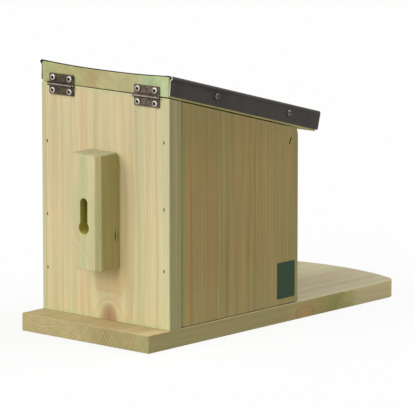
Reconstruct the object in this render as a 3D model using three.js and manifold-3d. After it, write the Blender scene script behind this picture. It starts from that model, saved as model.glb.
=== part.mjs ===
// Squirrel feeder box: a nut box with a hinged roof, standing on a long base board whose bowed
// front end is the feeding platform, with a keyholed block at the back to hang it by.
// Millimetres, +Z up. The platform faces -Y, the hinges and the block face +Y, and the origin is
// the middle of the base board's footprint, on the ground.

import * as THREE from 'three';
import { ConvexGeometry } from 'three/addons/geometries/ConvexGeometry.js';
import { mergeVertices } from 'three/addons/utils/BufferGeometryUtils.js';
import Module from 'manifold-3d';

const wasm = await Module();
wasm.setup();

// Boards and overall sizes
const boardThickness = 18;
const boxWidth = 171;
const boxDepth = 194;
const backHeight = 249;
const roofSlope = THREE.MathUtils.degToRad(15.1);
const arris = 1.5;

// Base board, with the bowed platform in front
const baseLength = 398;
const baseRearOverhang = 31;
const baseBow = 17;
const baseArris = 0.8;
const platformCornerRadius = 16;
const rearCornerRadius = 2;

// Side panels: their front top corner is sanded back
const sandedDepth = 2;
const sandedHeight = 9;

// Front rail, and the window that slides down in the grooves behind it
const railHeight = 28;
const railDrop = 6;
const windowThickness = 3;
const grooveDepth = 5;

// Roof board and the sheet folded over it
const roofThickness = 17.5;
const lidGap = 0.3;
const roofOverhang = 28;
const sheetThickness = 1;
const sheetReach = 1.5;
const sheetSetback = 1.2;
const flapReveal = 1.8;
const bendRadius = 2.3;
const bendStandoff = 2.3;
const bendLift = 1.8;
const bendHeight = 5;

// Hinges, folded open over the seam, their barrels outside and a little below it
const hingeWidth = 33;
const leafLength = 10.4;
const leafThickness = 1.2;
const leafCornerRadius = 1;
const barrelRadius = 2.2;
const pinRadius = 1.1;
const pinEnd = 0.5;
const hingeEdgeDistance = 12.2;
const hingeDrop = 1.4;
const hingeScrewInset = 5.3;
const hingeScrewDrop = 6.4;
const spareHoleRadius = 1.1;

// Hanging block and its keyhole
const blockWidth = 39;
const blockHeight = 115;
const blockBottom = 72.5;
const blockChamfer = 4.7;
const blockArris = 0.6;
const keyholeEntryRadius = 6.6;
const keyholeSlotWidth = 9.5;
const keyholeEntryRise = 42;
const keyholeLength = 36;
const keyholeLip = 6;
const keyholeUndercut = 9;
const waneDepth = 6;
const waneWidth = 5;
const waneHeight = 14;

// Fasteners
const panScrew = { headRadius: 3.2, headHeight: 1.9, shankRadius: 1.4, length: 12, recess: 2.9, slot: 0.8 };
const woodScrew = { headRadius: 3.8, headHeight: 3.6, shankRadius: 1.8, length: 36, recess: 4, slot: 1 };
const blockScrewLength = 40;
const screwSink = 0.5;
const tipLength = 3;
const bradThickness = 1.5;
const bradHeadHeight = 3;
const bradHeadThickness = 0.9;
const bradLength = 38;
const bradSink = 0.6;
const bradInset = 7.5;
const stapleCrown = 8;
const stapleLength = 32;
const stapleTilt = THREE.MathUtils.degToRad(25);

// Plain green label near the front bottom corner of the left side panel
const labelWidth = 27;
const labelHeight = 37;
const labelThickness = 0.3;
const labelInset = 5.5;
const labelRise = 7;
const labelCornerRadius = 1;

// Clearances: round holes and slots, seats of heads, the axial gap of knuckles, and cutters' overrun
const fitGap = 0.3;
const seatGap = 0.1;
const overrun = 5;

// Places as shares of the pieces that carry them
const backBradShares = { right: [0.245, 0.463, 0.759], left: [0.306, 0.552, 0.818] };
const sideScrewShares = [0.22, 0.8];
const backScrewShares = [-0.3, 0.3];
const blockScrewShares = [0.12, 0.88];
const flapScrewShares = [0.298, 0.791];
const flapScrewHeightShare = 0.65;
const sheetLiftShare = 0.88;
const stapleHeightShare = 0.77;
const stapleDepthShare = 0.7;

// Roundness: segments of quarter bends, holes and turned pieces
const bendSegments = 2;
const holeSegments = 12;
const turnSegments = 16;
const bowSegments = 24;
const cornerSegments = 5;
const roundingShare = 1.6;
const quarterTurn = Math.PI / 2;

// Places that several pieces share
const halfWidth = boxWidth / 2;
const innerHalfWidth = halfWidth - boardThickness;
const backPlane = baseLength / 2 - baseRearOverhang;
const innerBackPlane = backPlane - boardThickness;
const frontPlane = backPlane - boxDepth;
const floorTop = boardThickness;
const slopeRise = Math.tan(roofSlope);
const roofFoot = backHeight + lidGap;
const roofLength = (boxDepth + roofOverhang) / Math.cos(roofSlope);
const roofHalfWidth = halfWidth - sheetThickness - fitGap;
const sides = { right: 1, left: -1 };

const wood = (color, roughness) => new THREE.MeshStandardMaterial({ color, roughness, metalness: 0 });
const steel = (color, roughness) => new THREE.MeshStandardMaterial({ color, roughness, metalness: 1 });
const palePine = wood(0xd3c497, 0.75);
const shadedPine = wood(0xc2b27c, 0.75);
const greenPine = wood(0xc6c493, 0.78);
const sheetMetal = new THREE.MeshStandardMaterial({ color: 0x433e3b, roughness: 0.45, metalness: 0.6 });
const hingeSteel = steel(0x6b625c, 0.35);
const brightSteel = steel(0xc9c6c2, 0.25);
const nailSteel = steel(0x55503a, 0.5);
const labelGreen = new THREE.MeshStandardMaterial({ color: 0x1d4a33, roughness: 0.5, metalness: 0 });
const clearAcrylic = new THREE.MeshStandardMaterial({
  color: 0xe9f0ee, roughness: 0.05, metalness: 0, transparent: true, opacity: 0.3,
});

const feeder = new THREE.Group();

function addPiece(name, geometry, material) {
  const mesh = new THREE.Mesh(geometry, material);
  mesh.name = name;
  feeder.add(mesh);
  return mesh;
}

// Booleans
function toSolid(geometry) {
  const bare = geometry.clone();
  bare.deleteAttribute('normal');
  bare.deleteAttribute('uv');
  const merged = mergeVertices(bare);
  const index = merged.index.array;
  const triangles = [];
  for (let i = 0; i < index.length; i += 3) {
    const [a, b, c] = [index[i], index[i + 1], index[i + 2]];
    if (a !== b && b !== c && c !== a) triangles.push(a, b, c);
  }
  return new wasm.Manifold(new wasm.Mesh({
    numProp: 3,
    vertProperties: new Float32Array(merged.attributes.position.array),
    triVerts: new Uint32Array(triangles),
  }));
}

function toGeometry(solid) {
  const { numProp, vertProperties, triVerts } = solid.getMesh();
  const positions = new Float32Array(triVerts.length * 3);
  triVerts.forEach((vertex, i) => {
    for (let axis = 0; axis < 3; axis++) positions[3 * i + axis] = vertProperties[vertex * numProp + axis];
  });
  const geometry = new THREE.BufferGeometry();
  geometry.setAttribute('position', new THREE.BufferAttribute(positions, 3));
  geometry.computeVertexNormals();
  return geometry;
}

function cut(geometry, cutters) {
  const result = cutters.reduce((body, cutter) => body.subtract(toSolid(cutter)), toSolid(geometry));
  return toGeometry(result);
}

function join(geometries) {
  const [first, ...rest] = geometries.map(toSolid);
  return toGeometry(rest.reduce((body, piece) => body.add(piece), first));
}

// Outlines and boards
function roundedShape(corners, radius) {
  const points = corners.map(([x, y]) => new THREE.Vector2(x, y));
  const shape = new THREE.Shape();
  points.forEach((corner, i) => {
    const before = points[(i + points.length - 1) % points.length];
    const after = points[(i + 1) % points.length];
    const from = before.clone().sub(corner).setLength(Math.min(radius, before.distanceTo(corner) / 2));
    const to = after.clone().sub(corner).setLength(Math.min(radius, after.distanceTo(corner) / 2));
    const start = corner.clone().add(from);
    const end = corner.clone().add(to);
    if (i === 0) shape.moveTo(start.x, start.y);
    else shape.lineTo(start.x, start.y);
    shape.quadraticCurveTo(corner.x, corner.y, end.x, end.y);
  });
  shape.closePath();
  return shape;
}

function rectangle(left, bottom, right, top) {
  return [[left, bottom], [right, bottom], [right, top], [left, top]];
}

// A slab between z = 0 and z = depth, its end faces' edges rounded by the easing
function easedSlab(shape, depth, easing) {
  const slab = new THREE.ExtrudeGeometry(shape, {
    depth: depth - 2 * easing,
    bevelEnabled: easing > 0,
    bevelThickness: easing,
    bevelSize: easing,
    bevelOffset: -easing,
    bevelSegments: bendSegments,
    curveSegments: bendSegments,
  });
  return slab.translate(0, 0, easing);
}

const acrossX = new THREE.Matrix4().makeBasis(
  new THREE.Vector3(0, 1, 0), new THREE.Vector3(0, 0, 1), new THREE.Vector3(1, 0, 0));

// A board whose outline is given in the YZ plane and that runs from x = left to x = right
function boardAcross(corners, left, right) {
  const slab = easedSlab(roundedShape(corners, roundingShare * arris), right - left, arris);
  return slab.applyMatrix4(acrossX).translate(left, 0, 0);
}

function boxBetween(low, high) {
  const size = high.map((value, axis) => value - low[axis]);
  const middle = high.map((value, axis) => (value + low[axis]) / 2);
  return new THREE.BoxGeometry(...size).translate(...middle);
}

function rod(radius, from, to, segments = holeSegments) {
  const direction = to.clone().sub(from);
  const turn = new THREE.Quaternion().setFromUnitVectors(
    new THREE.Vector3(0, 1, 0), direction.clone().normalize());
  const middle = from.clone().lerp(to, 0.5);
  return new THREE.CylinderGeometry(radius, radius, direction.length(), segments)
    .applyQuaternion(turn)
    .translate(middle.x, middle.y, middle.z);
}

// Fasteners, with the head up along +Z, its seat at z = 0 and the shank below
function crossRecess(screw, top) {
  const arm = screw.recess / 2;
  const half = screw.slot / 2;
  const floor = top - screw.headHeight / 2;
  return [
    boxBetween([-arm, -half, floor], [arm, half, top + overrun]),
    boxBetween([-half, -arm, floor], [half, arm, top + overrun]),
  ];
}

function panScrewGeometry(screw) {
  const { headRadius, headHeight, shankRadius, length } = screw;
  const profile = [
    new THREE.Vector2(0, -length),
    new THREE.Vector2(shankRadius, tipLength - length),
    new THREE.Vector2(shankRadius, 0),
    new THREE.Vector2(headRadius, 0),
    new THREE.Vector2(headRadius, headHeight / 2),
    new THREE.Vector2(headRadius * Math.cos(Math.PI / 5), headHeight),
    new THREE.Vector2(0, headHeight),
  ];
  const turned = new THREE.LatheGeometry(profile, turnSegments).rotateX(quarterTurn);
  return cut(turned, crossRecess(screw, headHeight));
}

function woodScrewProfile(screw, length, grow) {
  const { headRadius, headHeight, shankRadius } = screw;
  return [
    new THREE.Vector2(0, -length - grow),
    new THREE.Vector2(shankRadius + grow, tipLength - length),
    new THREE.Vector2(shankRadius + grow, -headHeight),
    new THREE.Vector2(headRadius + grow, 0),
  ];
}

function woodScrewGeometry(screw, length) {
  const profile = [...woodScrewProfile(screw, length, 0), new THREE.Vector2(0, 0)];
  const turned = new THREE.LatheGeometry(profile, turnSegments).rotateX(quarterTurn);
  return cut(turned, crossRecess(screw, 0));
}

function woodScrewHole(screw, length) {
  const profile = [
    ...woodScrewProfile(screw, length, fitGap),
    new THREE.Vector2(screw.headRadius + fitGap, screwSink + overrun),
    new THREE.Vector2(0, screwSink + overrun),
  ];
  return new THREE.LatheGeometry(profile, holeSegments).rotateX(quarterTurn);
}

function panScrewHole(screw) {
  const radius = screw.shankRadius + fitGap;
  return rod(radius, new THREE.Vector3(0, 0, -screw.length - fitGap), new THREE.Vector3(0, 0, overrun));
}

// A T-headed brad, driven towards -Z from z = 0; grow widens it into its own hole
function bradGeometry(grow) {
  const head = bradHeadHeight / 2 + grow;
  const shank = bradThickness / 2 + grow;
  const top = grow > 0 ? overrun : 0;
  const outline = [
    [-head, top], [-head, -bradHeadThickness - grow], [-shank, -bradHeadThickness - grow],
    [-shank, -bradLength - grow], [shank, -bradLength - grow], [shank, -bradHeadThickness - grow],
    [head, -bradHeadThickness - grow], [head, top],
  ];
  return flatBar(outline, bradThickness + 2 * grow);
}

// A narrow crown staple, driven towards -Z from z = 0
function stapleGeometry(grow) {
  const outer = stapleCrown / 2 + grow;
  const inner = stapleCrown / 2 - bradThickness - grow;
  const top = grow > 0 ? overrun : 0;
  const crownBottom = -bradThickness - grow;
  const legEnd = -stapleLength - grow;
  const outline = [
    [-outer, top], [-outer, legEnd], [-inner, legEnd], [-inner, crownBottom],
    [inner, crownBottom], [inner, legEnd], [outer, legEnd], [outer, top],
  ];
  return flatBar(outline, bradThickness + 2 * grow);
}

// A flat bar with its outline in the XZ plane, centred on y = 0
function flatBar(outline, thickness) {
  const shape = new THREE.Shape(outline.map(([x, z]) => new THREE.Vector2(x, z)));
  return new THREE.ExtrudeGeometry(shape, { depth: thickness, bevelEnabled: false })
    .rotateX(quarterTurn)
    .translate(0, thickness / 2, 0);
}

// Where each fastener sits: its point, and the turn that brings its head up along its own axis
function place(geometry, { at, turn }) {
  return geometry.clone()
    .applyQuaternion(new THREE.Quaternion().setFromEuler(turn))
    .translate(at.x, at.y, at.z);
}

function addFastener(name, geometry, material, spot) {
  const mesh = addPiece(name, geometry, material);
  mesh.position.copy(spot.at);
  mesh.rotation.copy(spot.turn);
}

const headBack = new THREE.Euler(-quarterTurn, 0, 0);
const headFront = new THREE.Euler(quarterTurn, 0, 0);
const headDown = new THREE.Euler(Math.PI, 0, 0);
const headSide = { right: new THREE.Euler(0, quarterTurn, 0), left: new THREE.Euler(0, -quarterTurn, 0) };

// Brads through the back panel into the ends of the side panels, T heads upright
const bradSpots = Object.entries(sides).flatMap(([side, sign]) => backBradShares[side].map((share, i) => ({
  name: `back_brad_${side}_${i + 1}`,
  side,
  at: new THREE.Vector3(sign * (halfWidth - bradInset), backPlane - bradSink, share * backHeight),
  turn: new THREE.Euler(-quarterTurn, 0, quarterTurn),
})));

// Staples through the side panels into the ends of the front rail
const railTop = roofFoot - boxDepth * slopeRise - railDrop;
const railBottom = railTop - railHeight;
const stapleSpots = Object.entries(sides).map(([side, sign]) => ({
  name: `rail_staple_${side}`,
  side,
  at: new THREE.Vector3(
    sign * (halfWidth - bradSink),
    frontPlane + stapleDepthShare * boardThickness,
    railBottom + stapleHeightShare * railHeight),
  turn: new THREE.Euler(stapleTilt, sign * quarterTurn, 0),
}));

// Screws up through the base board into the side panels and the back panel
const baseScrewSpots = [
  ...Object.entries(sides).flatMap(([side, sign]) => sideScrewShares.map((share, i) => ({
    name: `base_screw_${side}_${i + 1}`,
    side,
    at: new THREE.Vector3(
      sign * (halfWidth - boardThickness / 2),
      innerBackPlane - share * (innerBackPlane - frontPlane),
      screwSink),
    turn: headDown,
  }))),
  ...backScrewShares.map((share, i) => ({
    name: `base_screw_back_${i + 1}`,
    side: 'back',
    at: new THREE.Vector3(share * boxWidth, backPlane - boardThickness / 2, screwSink),
    turn: headDown,
  })),
];

// Screws from inside the box through the back panel into the hanging block
const blockScrewSpots = blockScrewShares.map((share, i) => ({
  name: `block_screw_${i + 1}`,
  at: new THREE.Vector3(0, innerBackPlane + screwSink, blockBottom + share * blockHeight),
  turn: headFront,
}));

// Hinges: the axis lies outside the seam, the fixed leaf below it and the lid's leaf above it
const axisY = backPlane + barrelRadius + fitGap;
const axisZ = backHeight + lidGap / 2 - hingeDrop;
const hingeMiddle = halfWidth - hingeEdgeDistance - hingeWidth / 2;
const leaves = { fixed: -1, lid: 1 };
const hingeScrewSpots = Object.entries(sides).flatMap(([side, sign]) =>
  Object.entries(leaves).flatMap(([leaf, up]) => [-1, 1].map((end, i) => ({
    name: `hinge_screw_${side}_${leaf}_${i + 1}`,
    leaf,
    at: new THREE.Vector3(
      sign * hingeMiddle + end * (hingeWidth / 2 - hingeScrewInset),
      backPlane + leafThickness + seatGap,
      axisZ + up * hingeScrewDrop),
    turn: headBack,
  }))));

// Screws through the roof sheet's flaps into the edges of the roof board
const flapScrewSpots = Object.entries(sides).flatMap(([side, sign]) => flapScrewShares.map((share, i) => {
  const along = share * roofLength;
  const up = flapScrewHeightShare * roofThickness;
  return {
    name: `roof_screw_${side}_${i + 1}`,
    at: new THREE.Vector3(
      sign * (halfWidth + seatGap),
      backPlane - along * Math.cos(roofSlope) - up * Math.sin(roofSlope),
      roofFoot - along * Math.sin(roofSlope) + up * Math.cos(roofSlope)),
    turn: headSide[side],
  };
}));

function cutters(spots, geometry) {
  return spots.map((spot) => place(geometry, spot));
}

const bradHole = bradGeometry(fitGap);
const stapleHole = stapleGeometry(fitGap);
const baseScrewHole = woodScrewHole(woodScrew, woodScrew.length);
const blockScrewHole = woodScrewHole(woodScrew, blockScrewLength);
const panHole = panScrewHole(panScrew);

// Base board: square at the back, bowed at the front between two rounded corners
function arcPoints(x, y, radius, from, to, segments) {
  return Array.from({ length: segments + 1 }, (_, i) => {
    const angle = from + (to - from) * i / segments;
    return new THREE.Vector2(x + radius * Math.cos(angle), y + radius * Math.sin(angle));
  });
}

function baseOutline() {
  const bowRadius = (halfWidth ** 2 + baseBow ** 2) / (2 * baseBow);
  const bowCentre = bowRadius - baseLength / 2;
  const cornerX = halfWidth - platformCornerRadius;
  const cornerY = bowCentre - Math.sqrt((bowRadius - platformCornerRadius) ** 2 - cornerX ** 2);
  const cornerAngle = Math.atan2(cornerY - bowCentre, cornerX);
  const bow = arcPoints(0, bowCentre, bowRadius, -Math.PI - cornerAngle, cornerAngle, bowSegments);
  const rearX = halfWidth - rearCornerRadius;
  const rearY = baseLength / 2 - rearCornerRadius;
  return new THREE.Shape([
    ...arcPoints(-rearX, rearY, rearCornerRadius, quarterTurn, Math.PI, bendSegments),
    ...arcPoints(-cornerX, cornerY, platformCornerRadius, Math.PI, Math.PI - cornerAngle, cornerSegments),
    ...bow.slice(1, -1),
    ...arcPoints(cornerX, cornerY, platformCornerRadius, cornerAngle, 0, cornerSegments),
    ...arcPoints(rearX, rearY, rearCornerRadius, 0, quarterTurn, bendSegments),
  ]);
}

function addBaseBoard() {
  const slab = easedSlab(baseOutline(), boardThickness, baseArris);
  addPiece('base_board', cut(slab, cutters(baseScrewSpots, baseScrewHole)), shadedPine);
}

function roofUnderside(y) {
  return backHeight - (backPlane - y) * slopeRise;
}

function addBackPanel() {
  const corners = [
    [innerBackPlane, floorTop], [backPlane, floorTop],
    [backPlane, backHeight], [innerBackPlane, roofUnderside(innerBackPlane)],
  ];
  const board = boardAcross(corners, -halfWidth, halfWidth);
  const holes = [
    ...cutters(bradSpots, bradHole),
    ...cutters(baseScrewSpots.filter((spot) => spot.side === 'back'), baseScrewHole),
    ...cutters(blockScrewSpots, blockScrewHole),
    ...cutters(hingeScrewSpots.filter((spot) => spot.leaf === 'fixed'), panHole),
  ];
  addPiece('back_panel', cut(board, holes), palePine);
}

// Window grooves: just behind the front rail, open at the top so that the window lifts out
const windowFront = frontPlane + boardThickness + fitGap;
const windowBack = windowFront + windowThickness;

function addSidePanel(side) {
  const sign = sides[side];
  const frontTop = roofUnderside(frontPlane);
  const sandedTop = roofUnderside(frontPlane + sandedDepth);
  const corners = [
    [frontPlane, floorTop], [innerBackPlane, floorTop],
    [innerBackPlane, roofUnderside(innerBackPlane)],
    [frontPlane + sandedDepth, sandedTop], [frontPlane, frontTop - sandedHeight],
  ];
  const [left, right] = [sign * innerHalfWidth, sign * halfWidth].sort((a, b) => a - b);
  const board = boardAcross(corners, left, right);
  const grooveEdges = [sign * (innerHalfWidth - overrun), sign * (innerHalfWidth + grooveDepth)];
  const groove = boxBetween(
    [Math.min(...grooveEdges), windowFront - fitGap, floorTop - overrun],
    [Math.max(...grooveEdges), windowBack + fitGap, backHeight]);
  const mine = (spot) => spot.side === side;
  const holes = [
    groove,
    ...cutters(bradSpots.filter(mine), bradHole),
    ...cutters(baseScrewSpots.filter(mine), baseScrewHole),
    ...cutters(stapleSpots.filter(mine), stapleHole),
  ];
  addPiece(`side_panel_${side}`, cut(board, holes), shadedPine);
}

function addFrontRail() {
  const corners = [
    [frontPlane, railBottom], [frontPlane + boardThickness, railBottom],
    [frontPlane + boardThickness, railTop], [frontPlane, railTop],
  ];
  const board = boardAcross(corners, -innerHalfWidth, innerHalfWidth);
  addPiece('front_rail', cut(board, cutters(stapleSpots, stapleHole)), palePine);
}

function addWindow() {
  const reach = innerHalfWidth + grooveDepth - fitGap;
  addPiece('front_window', boxBetween(
    [-reach, windowFront, floorTop + seatGap], [reach, windowBack, railTop]), clearAcrylic);
}

// Hanging block: chamfered upright, with a keyhole whose slot runs up from the entry hole
function keyholeCutters() {
  const face = backPlane + baseRearOverhang;
  const entryZ = blockBottom + keyholeEntryRise;
  const slotTop = entryZ - keyholeEntryRadius + keyholeLength - keyholeSlotWidth / 2;
  const onAxis = (y, z) => new THREE.Vector3(0, y, z);
  const lipFloor = face - keyholeLip;
  const slotFloor = lipFloor - keyholeUndercut;
  const half = keyholeSlotWidth / 2;
  return [
    rod(keyholeEntryRadius, onAxis(slotFloor, entryZ), onAxis(face + overrun, entryZ), turnSegments),
    rod(half, onAxis(slotFloor, slotTop), onAxis(face + overrun, slotTop), turnSegments),
    boxBetween([-half, slotFloor, entryZ], [half, face + overrun, slotTop]),
    rod(keyholeEntryRadius, onAxis(slotFloor, slotTop), onAxis(lipFloor, slotTop), turnSegments),
    boxBetween([-keyholeEntryRadius, slotFloor, entryZ], [keyholeEntryRadius, lipFloor, slotTop]),
  ];
}

// The bark edge: one top corner of the block, next to the back panel, is missing a sliver
function waneCutter() {
  const corner = new THREE.Vector3(-blockWidth / 2, backPlane, blockBottom + blockHeight);
  const point = (x, y, z) => corner.clone().add(new THREE.Vector3(x, y, z));
  return new ConvexGeometry([
    point(-overrun, -overrun, overrun), point(waneWidth, -overrun, overrun), point(-overrun, waneDepth, overrun),
    point(waneWidth, 0, 0), point(0, waneDepth, 0), point(0, 0, -waneHeight),
    point(-overrun, -overrun, -waneHeight),
  ]);
}

function addHangingBlock() {
  const half = blockWidth / 2;
  const outer = backPlane + baseRearOverhang;
  const corners = [
    [-half, backPlane], [half, backPlane], [half, outer - blockChamfer], [half - blockChamfer, outer],
    [-half + blockChamfer, outer], [-half, outer - blockChamfer],
  ];
  const outline = roundedShape(corners, roundingShare * blockArris);
  const block = easedSlab(outline, blockHeight, blockArris).translate(0, 0, blockBottom);
  const holes = [...keyholeCutters(), waneCutter(), ...cutters(blockScrewSpots, blockScrewHole)];
  addPiece('hanging_block', cut(block, holes), greenPine);
}

// Roof frame: x across, the outline's y out of the roof, and z down the slope from the back, where
// everything is cut off plumb
const downSlope = new THREE.Matrix4().makeBasis(
  new THREE.Vector3(1, 0, 0),
  new THREE.Vector3(0, -Math.sin(roofSlope), Math.cos(roofSlope)),
  new THREE.Vector3(0, -Math.cos(roofSlope), -Math.sin(roofSlope)));
downSlope.setPosition(0, backPlane, roofFoot);

function onRoof(geometry, middle) {
  const position = geometry.attributes.position;
  for (let i = 0; i < position.count; i++) {
    const along = position.getZ(i);
    if (along < middle) position.setZ(i, along - position.getY(i) * slopeRise);
  }
  return geometry.applyMatrix4(downSlope);
}

function addRoofBoard() {
  const corners = rectangle(-roofHalfWidth, 0, roofHalfWidth, roofThickness);
  const outline = roundedShape(corners, roundingShare * arris);
  const board = onRoof(easedSlab(outline, roofLength, arris), roofLength / 2);
  const holes = [
    ...cutters(flapScrewSpots, panHole),
    ...cutters(hingeScrewSpots.filter((spot) => spot.leaf === 'lid'), panHole),
  ];
  addPiece('roof_board', cut(board, holes), greenPine);
}

// The sheet touches the board along its middle and rises towards its bends. There it stands off the
// board's edges, and it comes back to lie flush where it is screwed
function sheetMidline(standoff) {
  const top = roofThickness + seatGap + sheetThickness / 2;
  const crown = top + bendLift;
  const flush = halfWidth - sheetThickness / 2;
  const crest = flush + standoff;
  const half = new THREE.CurvePath();
  const at = (x, y) => new THREE.Vector2(x, y);
  const lift = sheetLiftShare * flush;
  const liftStart = at(flush - lift, top);
  const bendStart = at(crest - bendRadius, crown);
  const bendEnd = at(crest, crown - bendRadius);
  const flapStart = at(flush, crown - bendHeight);
  half.add(new THREE.QuadraticBezierCurve(liftStart, at(flush - lift / 2, top), bendStart));
  half.add(new THREE.QuadraticBezierCurve(bendStart, at(crest, crown), bendEnd));
  half.add(new THREE.QuadraticBezierCurve(bendEnd, at(flush, (bendEnd.y + flapStart.y) / 2), flapStart));
  half.add(new THREE.LineCurve(flapStart, at(flush, flapReveal)));
  const right = half.curves.flatMap((curve, i) => {
    const steps = i < half.curves.length - 1 ? 2 * bendSegments : 1;
    return curve.getPoints(steps).slice(i === 0 ? 0 : 1);
  });
  const left = right.map(({ x, y }) => at(-x, y)).reverse();
  return [...left, ...right];
}

// The outline of a band of even width along a line of points
function bandOutline(line, width) {
  const edge = (side) => line.map((point, i) => {
    const into = point.clone().sub(line[Math.max(i - 1, 0)]).normalize();
    const out = line[Math.min(i + 1, line.length - 1)].clone().sub(point).normalize();
    const tangent = into.clone().add(out).normalize();
    const across = new THREE.Vector2(-tangent.y, tangent.x);
    const mitre = Math.max(tangent.dot(into), tangent.dot(out));
    return point.clone().addScaledVector(across, side * width / 2 / mitre);
  });
  return [...edge(-1), ...edge(1).reverse()];
}

// A solid between two outlines with as many points each, one at z = start and the other at z = end
function loft(startOutline, endOutline, start, end) {
  const count = startOutline.length;
  const corners = [
    ...startOutline.map(({ x, y }) => [x, y, start]),
    ...endOutline.map(({ x, y }) => [x, y, end]),
  ];
  const walls = startOutline.flatMap((_, i) => {
    const next = (i + 1) % count;
    return [i, next, next + count, i, next + count, i + count];
  });
  const caps = THREE.ShapeUtils.triangulateShape(startOutline, [])
    .flatMap(([a, b, c]) => [c, b, a, a + count, b + count, c + count]);
  const geometry = new THREE.BufferGeometry();
  geometry.setAttribute('position', new THREE.Float32BufferAttribute(corners.flat(), 3));
  geometry.setIndex([...walls, ...caps]);
  return geometry;
}

// Its bends stand off at the back end only, where the sheet stops short of the board's end
function addRoofSheet() {
  const back = bandOutline(sheetMidline(bendStandoff), sheetThickness);
  const front = bandOutline(sheetMidline(0), sheetThickness);
  const sheet = onRoof(loft(back, front, sheetSetback, roofLength + sheetReach), roofLength / 2);
  addPiece('roof_sheet', cut(sheet, cutters(flapScrewSpots, panHole)), sheetMetal);
}

// Hinge leaves: the fixed leaf carries the two outer knuckles, the lid's leaf the middle one
function leafGeometry(leaf) {
  const knuckle = hingeWidth / 3;
  const spans = leaf === 'lid' ? [[knuckle, 2 * knuckle]] : [[0, knuckle], [2 * knuckle, hingeWidth]];
  const clear = barrelRadius + fitGap;
  const plateShape = roundedShape(
    rectangle(-hingeWidth / 2, clear, hingeWidth / 2, leafLength), leafCornerRadius);
  const holeAt = (x, radius) => {
    plateShape.holes.push(new THREE.Path().absarc(x, hingeScrewDrop, radius, 0, 2 * Math.PI, true));
  };
  holeAt(hingeScrewInset - hingeWidth / 2, panScrew.shankRadius + fitGap);
  holeAt(hingeWidth / 2 - hingeScrewInset, panScrew.shankRadius + fitGap);
  holeAt(0, spareHoleRadius);
  const leafFace = -clear;
  const plate = new THREE.ExtrudeGeometry(plateShape, {
    depth: leafThickness, bevelEnabled: false, curveSegments: holeSegments / 2,
  });
  const pieces = [plate.rotateX(quarterTurn).translate(0, leafFace + leafThickness, 0)];
  for (const [from, to] of spans) {
    const left = from - hingeWidth / 2 + (from > 0 ? fitGap / 2 : 0);
    const right = to - hingeWidth / 2 - (to < hingeWidth ? fitGap / 2 : 0);
    pieces.push(rod(barrelRadius, new THREE.Vector3(left, 0, 0), new THREE.Vector3(right, 0, 0), turnSegments));
    pieces.push(boxBetween([left, leafFace, 0], [right, leafFace + leafThickness, clear + leafCornerRadius]));
  }
  const bore = rod(pinRadius + fitGap, new THREE.Vector3(-hingeWidth, 0, 0), new THREE.Vector3(hingeWidth, 0, 0));
  const solid = cut(join(pieces), [bore]);
  return leaf === 'lid' ? solid : solid.rotateY(Math.PI);
}

function pinGeometry() {
  const half = hingeWidth / 2;
  const profile = [
    new THREE.Vector2(0, -half - pinEnd),
    new THREE.Vector2(pinRadius, -half),
    new THREE.Vector2(pinRadius, half),
    new THREE.Vector2(0, half + pinEnd),
  ];
  return new THREE.LatheGeometry(profile, holeSegments).rotateZ(quarterTurn);
}

function addHinges() {
  for (const [side, sign] of Object.entries(sides)) {
    for (const leaf of Object.keys(leaves)) {
      addPiece(`hinge_leaf_${side}_${leaf}`, leafGeometry(leaf), hingeSteel)
        .position.set(sign * hingeMiddle, axisY, axisZ);
    }
    addPiece(`hinge_pin_${side}`, pinGeometry(), brightSteel).position.set(sign * hingeMiddle, axisY, axisZ);
  }
}

function addFasteners() {
  const pan = panScrewGeometry(panScrew);
  for (const spot of [...hingeScrewSpots, ...flapScrewSpots]) addFastener(spot.name, pan, brightSteel, spot);
  const baseScrew = woodScrewGeometry(woodScrew, woodScrew.length);
  for (const spot of baseScrewSpots) addFastener(spot.name, baseScrew, brightSteel, spot);
  const blockScrew = woodScrewGeometry(woodScrew, blockScrewLength);
  for (const spot of blockScrewSpots) addFastener(spot.name, blockScrew, brightSteel, spot);
  for (const spot of bradSpots) addFastener(spot.name, bradGeometry(0), nailSteel, spot);
  for (const spot of stapleSpots) addFastener(spot.name, stapleGeometry(0), nailSteel, spot);
}

function addLabel() {
  const front = frontPlane + labelInset;
  const bottom = floorTop + labelRise;
  const shape = roundedShape(rectangle(front, bottom, front + labelWidth, bottom + labelHeight), labelCornerRadius);
  const label = easedSlab(shape, labelThickness, 0).applyMatrix4(acrossX);
  addPiece('plain_label', label.translate(-halfWidth - labelThickness, 0, 0), labelGreen);
}

addBaseBoard();
addBackPanel();
addSidePanel('left');
addSidePanel('right');
addFrontRail();
addWindow();
addHangingBlock();
addRoofBoard();
addRoofSheet();
addHinges();
addFasteners();
addLabel();

export default feeder;
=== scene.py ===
import math

import bmesh
import bpy
from mathutils import Matrix, Vector


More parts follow.
